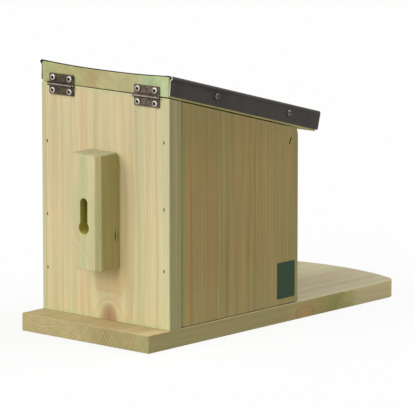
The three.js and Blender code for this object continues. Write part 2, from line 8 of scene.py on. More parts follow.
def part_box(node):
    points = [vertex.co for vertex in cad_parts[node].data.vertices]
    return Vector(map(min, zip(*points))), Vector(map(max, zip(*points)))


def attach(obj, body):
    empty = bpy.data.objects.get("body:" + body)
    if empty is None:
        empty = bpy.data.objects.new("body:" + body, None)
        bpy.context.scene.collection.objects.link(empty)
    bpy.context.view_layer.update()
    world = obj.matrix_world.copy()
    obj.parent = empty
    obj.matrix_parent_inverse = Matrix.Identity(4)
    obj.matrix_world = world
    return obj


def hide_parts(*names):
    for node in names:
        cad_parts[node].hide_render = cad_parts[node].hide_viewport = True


# Squirrel feeder box: the looks. Shapes are worked out in millimetres and scaled once at the end.
# The hinges and the hanging block face +Y, the feeding platform -Y, and +X is the right side.
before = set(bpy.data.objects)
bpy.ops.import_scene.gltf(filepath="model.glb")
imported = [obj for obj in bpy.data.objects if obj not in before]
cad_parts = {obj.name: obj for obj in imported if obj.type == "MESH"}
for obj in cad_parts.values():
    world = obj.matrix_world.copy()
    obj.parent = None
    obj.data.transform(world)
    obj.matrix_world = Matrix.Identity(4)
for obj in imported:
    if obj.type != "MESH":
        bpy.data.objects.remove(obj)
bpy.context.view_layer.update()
scene = bpy.context.scene
mm = 0.001
nodeNames = sorted(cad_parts)


def nodeBox(node):
    low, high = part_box(node)
    return low / mm, high / mm


def nodeMiddle(node):
    low, high = nodeBox(node)
    return (low + high) / 2


def nodesOf(prefix):
    return [node for node in nodeNames if node.startswith(prefix)]


panelTop = nodeBox("back_panel")[1]     # the back panel's upper rear edge, where the roof slope starts
roofSlope = math.radians(15.1)
slopeRise = math.tan(roofSlope)
overrun = 5     # how far a cutter reaches out of the surface that it opens


# Mesh helpers

def addObject(name, data):
    added = bpy.data.objects.new(name, data)
    scene.collection.objects.link(added)
    return added


def linkMesh(name, bm):
    bmesh.ops.recalc_face_normals(bm, faces=bm.faces)
    mesh = bpy.data.meshes.new(name)
    bm.to_mesh(mesh)
    bm.free()
    return addObject(name, mesh)


def loft(name, rows, bandEnds=False):
    # skin over rows of points; every row is a closed outline, and both end rows are capped, the ends
    # of a bent band with one face for each of its steps
    bm = bmesh.new()
    verts = [[bm.verts.new(point) for point in row] for row in rows]
    count = len(rows[0])
    for first, second in zip(verts, verts[1:]):
        for i in range(count):
            j = (i + 1) % count
            bm.faces.new((first[i], first[j], second[j], second[i]))
    for row in (verts[0], verts[-1]):
        if bandEnds:
            for i in range(count // 2 - 1):
                bm.faces.new((row[i], row[i + 1], row[-2 - i], row[-1 - i]))
        else:
            bm.faces.new(row)
    return linkMesh(name, bm)


def prism(name, outline, start, end, along):
    # a closed outline pushed along x, y or z; its points are given in the other two axes
    order = {"x": (2, 0, 1), "y": (0, 2, 1), "z": (0, 1, 2)}[along]
    return loft(name, [[[(u, v, w)[i] for i in order] for u, v in outline] for w in (start, end)])


def blockBetween(name, low, high):
    outline = [(low[0], low[1]), (high[0], low[1]), (high[0], high[1]), (low[0], high[1])]
    return prism(name, outline, low[2], high[2], "z")


def turned(name, profile, segments):
    # a lathe piece about z; the profile runs from one pole to the other as (radius, height)
    bm = bmesh.new()
    angles = [2 * math.pi * i / segments for i in range(segments)]
    rings = []
    for radius, height in profile:
        around = angles if radius else [0]
        rings.append([bm.verts.new((radius * math.cos(a), radius * math.sin(a), height)) for a in around])
    for lower, upper in zip(rings, rings[1:]):
        for i in range(segments):
            j = (i + 1) % segments
            if len(lower) == 1:
                bm.faces.new((lower[0], upper[j], upper[i]))
            elif len(upper) == 1:
                bm.faces.new((lower[i], lower[j], upper[0]))
            else:
                bm.faces.new((lower[i], lower[j], upper[j], upper[i]))
    return linkMesh(name, bm)


def moved(piece, matrix):
    piece.data.transform(matrix)
    return piece


def shifted(piece, offset):
    return moved(piece, Matrix.Translation(offset))


def rotated(piece, degrees, axis):
    return moved(piece, Matrix.Rotation(math.radians(degrees), 4, axis))


def arc(x, y, radius, start, end, steps):
    angles = [start + (end - start) * i / steps for i in range(steps + 1)]
    return [(x + radius * math.cos(a), y + radius * math.sin(a)) for a in angles]


def curvePoints(start, control, end, steps):
    # a curve from start to end that bends towards control
    points = []
    for t in [i / steps for i in range(steps + 1)]:
        pulls = ((1 - t) ** 2, 2 * t * (1 - t), t ** 2)
        points.append(tuple(sum(p * v for p, v in zip(pulls, axis)) for axis in zip(start, control, end)))
    return points


def thicken(line, widths, mitred=True):
    # a closed outline round a line of points, with one width for each point
    points = [Vector(point) for point in line]
    below, above = [], []
    for i, (here, width) in enumerate(zip(points, widths)):
        into = (here - points[i - 1] if i else points[1] - here).normalized()
        leave = (points[i + 1] - here).normalized() if i < len(points) - 1 else into
        tangent = (into + leave).normalized()
        across = Vector((-tangent.y, tangent.x)) * width / 2
        if mitred:
            across /= max(tangent.dot(into), 0.5)
        below.append(tuple(here - across))
        above.append(tuple(here + across))
    return below + above[::-1]


def roundEdges(piece, width, segments=4, sharperThan=35, only=None):
    bm = bmesh.new()
    bm.from_mesh(piece.data)
    limit = math.radians(sharperThan)
    edges = [e for e in bm.edges if e.is_manifold and e.calc_face_angle(0) > limit]
    if only:
        edges = [e for e in edges if only(e.verts[0].co, e.verts[1].co)]
    bmesh.ops.bevel(
        bm, geom=edges, offset=width, offset_type="OFFSET", segments=segments, profile=0.5,
        affect="EDGES", clamp_overlap=True)
    bm.to_mesh(piece.data)
    bm.free()


def isUpright(a, b):
    # true for the long upright edges of a panel
    return abs(a.z - b.z) > 100


def carve(piece, cutters):
    for cutter in cutters:
        modifier = piece.modifiers.new("carve", "BOOLEAN")
        modifier.operation = "DIFFERENCE"
        modifier.solver = "EXACT"
        modifier.object = cutter
    graph = bpy.context.evaluated_depsgraph_get()
    finished = bpy.data.meshes.new_from_object(piece.evaluated_get(graph))
    piece.modifiers.clear()
    spent = [piece.data] + [cutter.data for cutter in cutters]
    piece.data = finished
    for cutter in cutters:
        bpy.data.objects.remove(cutter)
    for mesh in spent:
        bpy.data.meshes.remove(mesh)


def markFaces(piece, slotIndex, chosen):
    for face in piece.data.polygons:
        if chosen(face.center, face.normal):
            face.material_index = slotIndex


def smoothMesh(mesh, materials, sharperThan=32):
    # scale to metres, and smooth the faces between real edges
    mesh.transform(Matrix.Scale(mm, 4))
    faceSlots = [face.material_index for face in mesh.polygons]
    mesh.materials.clear()
    for material in materials:
        mesh.materials.append(material)
    mesh.polygons.foreach_set("material_index", faceSlots)
    mesh.polygons.foreach_set("use_smooth", [True] * len(mesh.polygons))
    mesh.set_sharp_from_angle(angle=math.radians(sharperThan))


def handOver(piece, body, node, weight=80):
    # even out the shading and give the piece to the frame
    weighted = piece.modifiers.new("evenShading", "WEIGHTED_NORMAL")
    weighted.keep_sharp = True
    weighted.weight = weight
    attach(piece, body)
    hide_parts(node)


def finishPiece(piece, body, node, slot, *materials, sharperThan=32):
    smoothMesh(piece.data, materials, sharperThan)
    handOver(piece, body, node)


# Node helpers

class Signal:
    # a node's output that adds and multiplies like a number; its node tree travels with it
    def __init__(self, tree, socket):
        self.tree = tree
        self.socket = socket

    def __add__(self, other):
        return calc("ADD", self, other)

    def __radd__(self, other):
        return calc("ADD", other, self)

    def __sub__(self, other):
        return calc("SUBTRACT", self, other)

    def __rsub__(self, other):
        return calc("SUBTRACT", other, self)

    def __mul__(self, other):
        return calc("MULTIPLY", self, other)

    def __truediv__(self, other):
        return calc("DIVIDE", self, other)


def treeOf(values):
    return next(value.tree for value in values if isinstance(value, Signal))


def wire(value, socket):
    if isinstance(value, Signal):
        value.tree.links.new(value.socket, socket)
    else:
        socket.default_value = value


def addNode(tree, kind, inputs, **settings):
    # inputs holds values or signals, by the sockets' names or else in their order
    node = tree.nodes.new(kind)
    for key, value in settings.items():
        setattr(node, key, value)
    for key, value in inputs.items() if isinstance(inputs, dict) else enumerate(inputs):
        wire(value, node.inputs[key])
    return node


def signalFrom(tree, kind, inputs, output=0, **settings):
    return Signal(tree, addNode(tree, kind, inputs, **settings).outputs[output])


def isVector(value):
    return isinstance(value, tuple) or isinstance(value, Signal) and value.socket.type != "VALUE"


def calc(operation, *values, clamp=False):
    tree = treeOf(values)
    if any(isVector(value) for value in values):
        result = "Value" if operation == "LENGTH" else "Vector"
        return signalFrom(tree, "ShaderNodeVectorMath", values, result, operation=operation)
    return signalFrom(tree, "ShaderNodeMath", values, operation=operation, use_clamp=clamp)


def split(vector):
    node = addNode(vector.tree, "ShaderNodeSeparateXYZ", [vector])
    return [Signal(vector.tree, socket) for socket in node.outputs]


def combine(*values):
    return signalFrom(treeOf(values), "ShaderNodeCombineXYZ", values)


def noise(vector, scale, detail=2, rough=0.5, output="Fac"):
    inputs = {"Vector": vector, "Scale": scale, "Detail": detail, "Roughness": rough}
    return signalFrom(vector.tree, "ShaderNodeTexNoise", inputs, output)


def smooth(value, low, high, start=0, end=1):
    inputs = {"Value": value, "From Min": low, "From Max": high, "To Min": start, "To Max": end}
    return signalFrom(value.tree, "ShaderNodeMapRange", inputs, "Result", interpolation_type="SMOOTHSTEP")


def spun(vector, rotation, kind="POINT"):
    inputs = {"Vector": vector, "Rotation": rotation}
    return signalFrom(vector.tree, "ShaderNodeMapping", inputs, vector_type=kind)


def mixColour(factor, first, second, how="MIX"):
    tree = treeOf((factor, first, second))
    inputs = {"Factor": factor, "A": first, "B": second}
    node = addNode(tree, "ShaderNodeMix", inputs, data_type="RGBA", blend_type=how)
    return Signal(tree, next(socket for socket in node.outputs if socket.type == "RGBA"))


def shaded(colour, shade):
    # a colour times a plain value
    grey = signalFrom(shade.tree, "ShaderNodeCombineColor", (shade, shade, shade))
    return mixColour(1, colour, grey, "MULTIPLY")


def newGroup(name, inputs):
    # inputs gives, for each kind of socket, its names with commas between them
    group = bpy.data.node_groups.new(name, "ShaderNodeTree")
    for kind, labels in inputs.items():
        for label in labels.split(", "):
            group.interface.new_socket(name=label, in_out="INPUT", socket_type="NodeSocket" + kind)
    entry = group.nodes.new("NodeGroupInput")
    return {socket.name: Signal(group, socket) for socket in entry.outputs}


def closeGroup(results):
    group = treeOf(results.values())
    kinds = {"VALUE": "NodeSocketFloat", "RGBA": "NodeSocketColor"}
    for label, result in results.items():
        group.interface.new_socket(name=label, in_out="OUTPUT", socket_type=kinds[result.socket.type])
    leave = group.nodes.new("NodeGroupOutput")
    for label, result in results.items():
        wire(result, leave.inputs[label])
    return group


def camelCase(label):
    words = label.split(" ")
    return words[0].lower() + "".join(words[1:])


def useGroup(group, **values):
    # a group placed in a material, with its sockets' names in camelCase; values that it has no input
    # for are passed over
    tree = treeOf(values.values())
    node = tree.nodes.new("ShaderNodeGroup")
    node.node_tree = group
    for socket in node.inputs:
        wire(values[camelCase(socket.name)], socket)
    return {camelCase(socket.name): Signal(tree, socket) for socket in node.outputs}


def linear(hexColour):
    # a hex colour as the eye sees it, turned into the renderer's linear values
    channels = [int(hexColour[i:i + 2], 16) / 255 for i in (1, 3, 5)]
    return tuple(c / 12.92 if c <= 0.04045 else ((c + 0.055) / 1.055) ** 2.4 for c in channels) + (1,)


# Node groups, all in millimetres

def makeGrainGroup():
    # growth rings and fibres of a board, with the pith along z
    given = newGroup("pineGrain", {"Vector": "Position", "Float": "Bulge, Ring Width, Wander, Seed"})
    seed, wander = given["Seed"], given["Wander"]
    place = given["Position"] + combine(seed * 37, seed, seed)
    slow = noise(place * (0.016, 0.016, 0.0045), 1, 2, 0.45, "Color")
    x, y, _ = split(given["Position"] + (slow - (0.5, 0.5, 0.5)) * combine(wander, wander, 0))
    distance = calc("SQRT", x * x + y * y) + given["Bulge"]
    distance = distance + noise(place * (0.35, 0.35, 0.012), 1) * 0.9
    rings = distance / given["Ring Width"] + noise(combine(distance * 0.07, seed, 0), 1, 1) * 5
    within = calc("FRACT", rings)
    return closeGroup({
        "Late Wood": smooth(within, 0.35, 0.9) * smooth(within, 0.93, 1, 1, 0),
        "Ring Tone": noise(combine(calc("FLOOR", rings), seed, 0.5), 0.73, 0),
        "Streak": noise(place * (0.11, 0.11, 0.0035), 1, 3, 0.6),
        "Fibre": noise(place * (2.2, 2.2, 0.045), 1, 3, 0.65),
        "Flecks": smooth(noise(place * (1.3, 1.3, 0.09), 1, 1), 0.67, 0.76),
    })


def makeKnotGroup():
    # a branch knot: its core, the dark ring round it, and how far it pushes the rings aside
    given = newGroup("knot", {"Vector": "Position, Centre, Stretch", "Float": "Radius, Push, Reach"})
    wobble = noise(given["Position"], 0.09) - 0.5
    distance = calc("LENGTH", (given["Position"] - given["Centre"]) * given["Stretch"]) + wobble * 3
    share = distance / given["Radius"]
    relative = distance / given["Reach"]
    return closeGroup({
        "Core": smooth(share, 0.75, 1.1, 1, 0),
        "Rim": smooth(share, 1.15, 1.45, 1, 0) * smooth(share, 0.8, 1),
        "Bulge": calc("POWER", math.e, relative * relative * -1) * given["Push"],
        "Rings": calc("FRACT", distance * 0.7),
    })


def insideSides(given):
    # how far a point is from the nearer side of a box, along each axis
    return calc("MINIMUM", given["Position"] - given["Low"], given["High"] - given["Position"])


def makeEdgeGroup():
    # how near a point is to an edge of its board: 1 at the edge, 0 further in than Width
    given = newGroup("boardEdge", {"Vector": "Position, Low, High", "Float": "Width"})
    a, b, c = split(insideSides(given))
    middle = calc("MAXIMUM", calc("MINIMUM", a, b), calc("MINIMUM", calc("MAXIMUM", a, b), c))
    uneven = noise(given["Position"], 0.12, 3) - 0.5
    return closeGroup({"Edge": smooth(middle + uneven * given["Width"], 0, given["Width"], 1, 0)})


def makeInsideGroup():
    # 1 inside a box and 0 outside it; the border is soft and a little uneven
    given = newGroup("insideBox", {"Vector": "Position, Low, High, Softness"})
    a, b, c = split(insideSides(given) / given["Softness"])
    uneven = noise(given["Position"], 0.06, 3) - 0.5
    nearest = calc("MINIMUM", calc("MINIMUM", a, b), c)
    return closeGroup({"Inside": smooth(nearest + uneven, -0.5, 0.5)})


def makeWoodColourGroup():
    # colour, roughness and relief of planed pine from its grain masks
    given = newGroup("pineSurface", {
        "Color": "Early Colour, Late Colour, Warm Colour, Green Colour, Knot Colour",
        "Float": "Late Wood, Ring Tone, Streak, Fibre, Flecks, End Grain, End Rings, Knot Core, Knot Rim, "
                 "Knot Rings, Warm, Green, Edge, Contrast"})
    lateWood, fibre, endGrain = given["Late Wood"], given["Fibre"], given["End Grain"]
    late = lateWood * smooth(given["Ring Tone"], 0.25, 0.7, 0.45, 1)
    late = calc("MULTIPLY", late, given["Contrast"], clamp=True)
    colour = mixColour(late, given["Early Colour"], given["Late Colour"])
    for tone in ("Warm", "Green"):
        colour = mixColour(given[tone], colour, given[tone + " Colour"])
    shade = smooth(given["Streak"], 0.25, 0.75, 0.91, 1.07) * smooth(fibre, 0.2, 0.8, 0.95, 1.045)
    shade = shade * (1 - given["Flecks"] * 0.12) * (1 - endGrain * lateWood * given["End Rings"])
    knot = given["Knot Colour"]
    core = shaded(knot, 1 - given["Knot Rings"] * 0.25)
    colour = mixColour(given["Knot Core"], shaded(colour, shade), core)
    colour = mixColour(given["Knot Rim"] * 0.55, colour, mixColour(0.55, knot, linear("#7a5232")))
    worn = mixColour(1, colour, (1.06, 1.05, 1.03, 1), "MULTIPLY")
    rough = 0.62 + fibre * 0.2 - late * 0.12
    return closeGroup({
        "Color": mixColour(given["Edge"], colour, worn),
        "Roughness": calc("ADD", rough, endGrain * 0.12, clamp=True),
        "Height": lateWood * 0.35 + fibre * 0.5 - given["Flecks"] * 0.3,
    })


def makeMetalWearGroup():
    # smudges, fine scratches and specks on metal
    given = newGroup("metalWear", {
        "Vector": "Position, Brush", "Color": "Colour, Smudge Colour, Speck Colour",
        "Float": "Smudge Size, Smudges, Specks, Roughness"})
    place = given["Position"]
    smudge = smooth(noise(place, given["Smudge Size"], 4, 0.6), 0.35, 0.7) * given["Smudges"]
    brushed = noise(place * given["Brush"], 1)
    dots = noise(place, 1.7, 2, 0.6)
    colour = mixColour(smudge, given["Colour"], given["Smudge Colour"])
    colour = mixColour(smooth(dots, 0.6, 0.72) * given["Specks"], colour, given["Speck Colour"])
    rough = given["Roughness"] + smudge * 0.18
    return closeGroup({
        "Color": shaded(colour, smooth(brushed, 0.25, 0.75, 0.94, 1.06)),
        "Roughness": calc("ADD", rough, brushed * 0.08, clamp=True),
        "Height": brushed * 0.6 + dots * 0.6,
    })


grainGroup = makeGrainGroup()
knotGroup = makeKnotGroup()
edgeGroup = makeEdgeGroup()
insideGroup = makeInsideGroup()
woodColourGroup = makeWoodColourGroup()
metalWearGroup = makeMetalWearGroup()
print("node groups made")


# Materials

def newMaterial(name, finishColour, settings):
    material = bpy.data.materials.new(name)
    material.use_nodes = True
    material.diffuse_color = finishColour
    tree = material.node_tree
    shader = tree.nodes["Principled BSDF"]
    for label, value in settings.items():
        shader.inputs[label].default_value = value
    return material, tree, shader


def objectPlace(tree):
    # the place on the piece in millimetres, and the way its surface faces
    outputs = tree.nodes.new("ShaderNodeTexCoord").outputs
    return Signal(tree, outputs["Object"]) * (1000, 1000, 1000), Signal(tree, outputs["Normal"])


def streakMask(place, low, high, streaks):
    # a soft mask with one peak for each streak: its place, half its width and its strength
    stops = []
    for middle, half, strength in streaks:
        stops += [(middle - half, 0), (middle, strength), (middle + half, 0)]
    ramp = addNode(place.tree, "ShaderNodeValToRGB", [(place - low) / (high - low)])
    ramp.color_ramp.interpolation = "EASE"
    elements = ramp.color_ramp.elements
    while len(elements) < len(stops):
        elements.new(0.5)
    for element, (stop, strength) in zip(elements, sorted(stops)):
        element.position = min(max((stop - low) / (high - low), 0), 1)
        element.color = (strength, strength, strength, 1)
    level = Signal(place.tree, ramp.outputs["Color"])
    return signalFrom(place.tree, "ShaderNodeMath", (level, 1), operation="MULTIPLY")


def tinted(colour, place, tints):
    # patches of another tone, each inside a soft box. A tint is the box's lowest and highest corner, how
    # soft its border is, and a factor for the colour, or else another colour and its strength
    for low, high, softness, tone, *strength in tints:
        inside = useGroup(insideGroup, position=place, low=low, high=high, softness=softness)["inside"]
        if strength:
            colour = mixColour(inside * strength[0], colour, linear(tone))
        else:
            colour = mixColour(inside, colour, (*tone, 1), "MULTIPLY")
    return colour


def dress(shader, place, surface, tints, strength, relief):
    # give the shader its surface: colour with its tints, roughness, and relief in millimetres
    wire(tinted(surface["color"], place, tints), shader.inputs["Base Color"])
    wire(surface["roughness"], shader.inputs["Roughness"])
    inputs = {"Height": surface["height"], "Strength": strength, "Distance": relief * mm}
    wire(signalFrom(place.tree, "ShaderNodeBump", inputs), shader.inputs["Normal"])


# How the rings of a board lie. fibre says along which axis the tree grew, and pith is where the
# middle of the tree passes, given in the two other axes. Streaks lie beside each other along across.
# A knot is its centre, how it stretches along each axis, its radius, how far it pushes the rings aside
# and within what reach, and how dark it is
fibreTurns = {"z": (0, 0, 0), "y": (math.pi / 2, 0, 0), "x": (0, -math.pi / 2, 0)}
plainWood = {
    "fibre": "z", "across": "x", "tilt": (0, 0, 0), "wander": 6, "endRings": 0.3, "relief": 0.1, "drift": 6,
    "blotches": 0.2, "edgeGreen": 0.4, "wornEdge": 2.2, "strongRings": [], "knots": [], "tints": [],
}


def makeWood(name, low, high, **changes):
    look = {**plainWood, **changes}
    colours = {f"{tone}Colour": linear(look[tone]) for tone in ("early", "late", "warm", "green", "knot")}
    material, tree, shader = newMaterial(name, colours["earlyColour"], {"Specular IOR Level": 0.3})
    place, normal = objectPlace(tree)
    turn, tilt = fibreTurns[look["fibre"]], look["tilt"]
    fromPith = spun(spun(place - look["pith"], turn), tilt)
    along = spun(spun(normal, turn, "VECTOR"), tilt, "VECTOR")
    endGrain = smooth(calc("ABSOLUTE", split(along)[2]), 0.6, 0.9)
    bulge = core = rim = rings = 0
    for *values, tone in look["knots"]:
        knot = dict(zip(("centre", "stretch", "radius", "push", "reach"), values))
        found = useGroup(knotGroup, position=place, **knot)
        bulge = bulge + found["bulge"]
        core = calc("MAXIMUM", core, found["core"] * tone)
        rim = calc("MAXIMUM", rim, found["rim"] * tone)
        rings = calc("MAXIMUM", rings, found["rings"])
    grain = useGroup(grainGroup, position=fromPith, bulge=bulge, **look)
    axis = "xyz".index(look["across"])
    drift = (noise(place, 0.01) - 0.5) * look["drift"]
    coordinate = split(place)[axis] + drift + grain["fibre"] * 1.5
    warm, green, strong = (
        streakMask(coordinate, low[axis], high[axis], look[kind]) if look[kind] else None
        for kind in ("warmStreaks", "greenStreaks", "strongRings"))
    warm = warm * smooth(grain["streak"], 0.2, 0.6, 0.55, 1)
    blotch = smooth(noise(place * (0.018, 0.018, 0.01), 1, 3), 0.42, 0.68) * look["blotches"]
    rimGreen, worn = (
        useGroup(edgeGroup, position=place, low=low, high=high, width=look[width])["edge"]
        for width in ("edgeTint", "wornEdge"))
    green = calc("MAXIMUM", calc("MAXIMUM", green, rimGreen * look["edgeGreen"]), blotch)
    surface = useGroup(
        woodColourGroup, **grain, **colours, endGrain=endGrain, endRings=look["endRings"], knotCore=core,
        knotRim=rim, knotRings=rings, warm=warm, green=green, edge=worn,
        contrast=look["contrast"] + strong if strong else look["contrast"])
    dress(shader, place, surface, look["tints"], strength=0.6, relief=look["relief"])
    return material


plainMetal = {
    "smudgeSize": 0.6, "smudges": 0.6, "specks": 0.3, "roughness": 0.5, "metallic": 1,
    "brush": (1.5, 1.5, 1.5), "relief": 0.02, "tints": [],
}
nailLook = {"smudges": 0.7, "specks": 0.4, "brush": (2, 2, 2), "relief": 0.04}


def makeMetal(name, colours, **changes):
    # colours are the metal's own, its smudges' and its specks'
    look = {**plainMetal, **changes}
    colour, smudge, speck = map(linear, colours)
    material, tree, shader = newMaterial(name, colour, {"Metallic": look["metallic"]})
    place = objectPlace(tree)[0]
    wear = useGroup(
        metalWearGroup, position=place, colour=colour, smudgeColour=smudge, speckColour=speck, **look)
    dress(shader, place, wear, look["tints"], strength=0.4, relief=look["relief"])
    return material


screwMetal = makeMetal("zincScrew", ("#c0bab4", "#9d9690", "#d6d0ca"), smudgeSize=0.35, smudges=0.5)
# painted shade: a darker copy of the screw zinc for the screws in the roof's side flaps
shadedFlapScrewMetal = makeMetal(
    "dullZincScrew", ("#7a7775", "#56524f", "#928e8a"), smudgeSize=0.35, roughness=0.4)
# painted shade: near black for the walls and floor of the screw heads' cross recesses
recessShadeMetal = makeMetal(
    "screwRecess", ("#1d1916", "#110e0c", "#332e2a"), smudgeSize=0.8, roughness=0.7, metallic=0.2,
    relief=0.03)
# the hinges' dark steel; its last two tints are painted shade and a painted highlight on the barrels
hingeMetal = makeMetal(
    "burnishedSteel", ("#6a5c54", "#2c2420", "#948780"), smudgeSize=0.3, smudges=0.85, specks=0.5,
    roughness=0.34, metallic=0.9, brush=(0.3, 3, 3), relief=0.03,
    tints=[
        ((0, 160, 230), (100, 180, 270), (4, 1, 1), (0.74, 0.79, 0.66)),
        ((-100, 160, 230), (0, 180, 270), (4, 1, 1), (1.22, 1.22, 1.12)),
        # painted shade over the barrels, then a painted highlight: a thin pale line along them
        ((-100, 171.2, 240), (100, 176, 256), (9, 0.3, 2), (0.5, 0.47, 0.45)),
        ((-100, 172.62, 240), (100, 176, 256), (9, 0.1, 2), "#c3b7ad", 0.5),
    ])
sheetMetal = makeMetal(
    "roofSheet", ("#3d3934", "#34312c", "#4c4841"), smudgeSize=0.03, specks=0.25, metallic=0.55,
    brush=(0.05, 0.02, 0.05))
# the sheet's cut ends as bright bare metal, partly the metal's own colour and partly a painted highlight
cutEdgeHighlightMetal = makeMetal(
    "cutEdge", ("#d6d3ce", "#9b9690", "#efece8"), smudgeSize=0.2, smudges=0.5, roughness=0.35,
    metallic=0.8, brush=(2, 2, 2), relief=0.04)
nailMetal = makeMetal("bradSteel", ("#3b3420", "#2a2415", "#5c5336"), **nailLook, metallic=0.8)
fadedNailMetal = makeMetal(
    "fadedBradSteel", ("#8f7a45", "#746134", "#a8955f"), **nailLook, roughness=0.6, metallic=0.3)
stapleMetal = makeMetal(
    "stapleSteel", ("#3d3216", "#2a220f", "#5a4c2a"), **nailLook, roughness=0.6, metallic=0.5)
print("metals made")


# Base board
baseBoard = {"bow": 17, "platformCorner": 16, "rearCorner": 2, "edge": 0.8, "bowSteps": 48}
countersink = {"radius": 4.1, "floorRadius": 2.1, "depth": 3.9, "sink": 0.5}
low, high = nodeBox("base_board")


def baseOutline(low, high, values):
    half = high.x
    bowRadius = (half ** 2 + values["bow"] ** 2) / (2 * values["bow"])
    bowMiddle = low.y + bowRadius
    corner = values["platformCorner"]
    cornerX = half - corner
    cornerY = bowMiddle - math.sqrt((bowRadius - corner) ** 2 - cornerX ** 2)
    turn = math.atan2(cornerY - bowMiddle, cornerX)
    rear = values["rearCorner"]
    return (
        arc(rear - half, high.y - rear, rear, math.pi / 2, math.pi, 4)
        + arc(-cornerX, cornerY, corner, math.pi, math.pi - turn, 8)
        + arc(0, bowMiddle, bowRadius, -math.pi - turn, turn, values["bowSteps"])[1:-1]
        + arc(cornerX, cornerY, corner, turn, 0, 8)
        + arc(half - rear, high.y - rear, rear, 0, math.pi / 2, 4))


def countersunk(x, y, z, turn):
    # a cutter for a sunk screw head; its wide end faces up, and turn tips it over by so many degrees
    depth, radius = countersink["depth"], countersink["radius"]
    profile = [
        (0, -depth), (countersink["floorRadius"], -depth), (radius, 0), (radius, overrun), (0, overrun)]
    return shifted(rotated(turned("cutter", profile, segments=40), turn, "X"), (x, y, z))


def baseScrewHole(node):
    middle = nodeMiddle(node)
    return countersunk(middle.x, middle.y, countersink["sink"], 180)


woodBase = makeWood(
    "basePine", low, high, fibre="y", pith=(55, 0, 63), ringWidth=2.7, wander=7, seed=3, contrast=0.26,
    endRings=0.09, relief=0.12, drift=10, edgeTint=4, edgeGreen=0.12,
    early="#c8b586", late="#a98f5f", warm="#c29a72", green="#b3b07c", knot="#dcae7e",
    warmStreaks=[(-20, 18, 0.35), (-62, 14, 0.3)], greenStreaks=[(40, 20, 0.25)],
    strongRings=[(-32, 34, 0.7)], knots=[((-85.5, -37, 5), (0.4, 0.5, 1), 6, 36, 23, 0.62)],
    tints=[
        # painted shade: the top of the rear strip and its rear edge are darkened, to no brighter than the
        # end face
        ((-100, 160, 17.2), (100, 220, 30), (1, 1, 0.6), (0.9, 0.9, 0.885)),
        ((-200, 198.4, -9), (-5, 220, 17.2), (60, 0.5, 0.6), (0.77, 0.83, 0.71)),
        ((5, 198.4, -9), (200, 220, 17.2), (60, 0.5, 0.6), (0.96, 0.96, 0.9)),
        # painted shade: the left side face is darker and more olive, being turned from the light
        ((-90, -95, -9), (-85, 300, 17.4), (0.5, 70, 0.6), (0.67, 0.71, 0.6)),
        ((-90, -112, -9), (-85, -60, 17.4), (0.5, 34, 0.6), (0.78, 0.89, 0.66)),
        ((-90, -76, -9), (-85, -14, 17.4), (0.5, 20, 0.6), (1.18, 1.1, 1.1)),
        ((-90, -196, -9), (-85, -112, 17.4), (0.5, 24, 0.6), (1.04, 1.1, 1.16)),
        ((-100, -300, 17.4), (100, -10, 30), (1, 12, 0.6), (0.84, 0.93, 1.16)),
    ])
base = prism("baseBoard", baseOutline(low, high, baseBoard), low.z, high.z, "z")
roundEdges(base, baseBoard["edge"], sharperThan=40)
carve(base, [baseScrewHole(node) for node in nodesOf("base_screw")])
finishPiece(base, "box", "base_board", "shaded_pine", woodBase)
print("base board made")


# Back panel
backPanel = {"edge": 1.2, "sawnEdge": 0.5, "topDrop": 0.8}
bradPocket = {"halfWidth": 0.8, "halfHeight": 1.6, "depth": 1.6, "fadedGap": 0.03}
fadedBrads = ("back_brad_right_1", "back_brad_right_2")
low, high = nodeBox("back_panel")
woodBack = makeWood(
    "backPine", low, high, pith=(-6, 66, 0), ringWidth=2.5, seed=11, contrast=0.55, blotches=0.15,
    edgeTint=8, edgeGreen=0.6,
    early="#d9cb9c", late="#c8ae7c", warm="#dcb78c", green="#bfc795", knot="#b6906a",
    warmStreaks=[(68, 9, 0.45), (31, 12, 0.38), (-13, 8, 0.4), (-30, 9, 0.2)],
    greenStreaks=[(47, 8, 0.3), (-45, 9, 0.35), (-78, 9, 0.5)],
    knots=[((-5, 168, 18.5), (0.92, 0.3, 0.66), 7.8, 12, 13, 0.9)],
    tints=[
        ((-7, 160, 18), (-2.5, 169, 24), (2.5, 1, 4), (0.85, 0.8, 0.72)),
        # painted light: lightened below and beside the hanging block, where the block's shadow falls
        ((-24, 160, 46), (8, 169, 72), (10, 1, 10), (1.1, 1.06, 1)),
        ((-38, 160, 58), (-19, 169, 190), (6, 1, 14), (1.04, 1.03, 0.97)),
        # painted shade: the panel's left end face is darkened, being turned from the light
        ((-90, 140, -9), (-85.1, 167.6, 300), (0.5, 0.8, 1), (0.565, 0.575, 0.49)),
        ((-90, 160, 130), (90, 180, 260), (1, 4, 70), (0.955, 0.945, 0.99)),
    ])


def slopedTop(y):
    # how high the panels reach under the roof
    return panelTop.z - (panelTop.y - y) * slopeRise


def bradHole(node):
    head, tail = nodeBox(node)
    halfSize = Vector((bradPocket["halfWidth"], 0, bradPocket["halfHeight"]))
    if node in fadedBrads:
        halfSize = (tail - head) / 2 + Vector((bradPocket["fadedGap"], 0, bradPocket["fadedGap"]))
    start, end = nodeMiddle(node) - halfSize, nodeMiddle(node) + halfSize
    start.y = panelTop.y - bradPocket["depth"]
    end.y = panelTop.y + overrun
    return blockBetween("cutter", start, end)


def blockScrewHole(node):
    middle = nodeMiddle(node)
    return countersunk(middle.x, nodeBox(node)[0].y, middle.z, 90)


back = prism("backPanel", [
    (low.y, low.z), (high.y, low.z), (high.y, high.z), (low.y, slopedTop(low.y)),
], low.x, high.x, "x")
for vertex in back.data.vertices:
    # the lid closes a little less well over the left end
    if vertex.co.z > low.z + 1 and vertex.co.x < 0:
        vertex.co.z -= backPanel["topDrop"]
roundEdges(back, backPanel["edge"], only=isUpright)
roundEdges(back, backPanel["sawnEdge"], 3)
carve(back, [bradHole(node) for node in nodesOf("back_brad")])
carve(back, [blockScrewHole(node) for node in nodesOf("block_screw")])
finishPiece(back, "box", "back_panel", "pale_pine", woodBack)
print("back panel made")


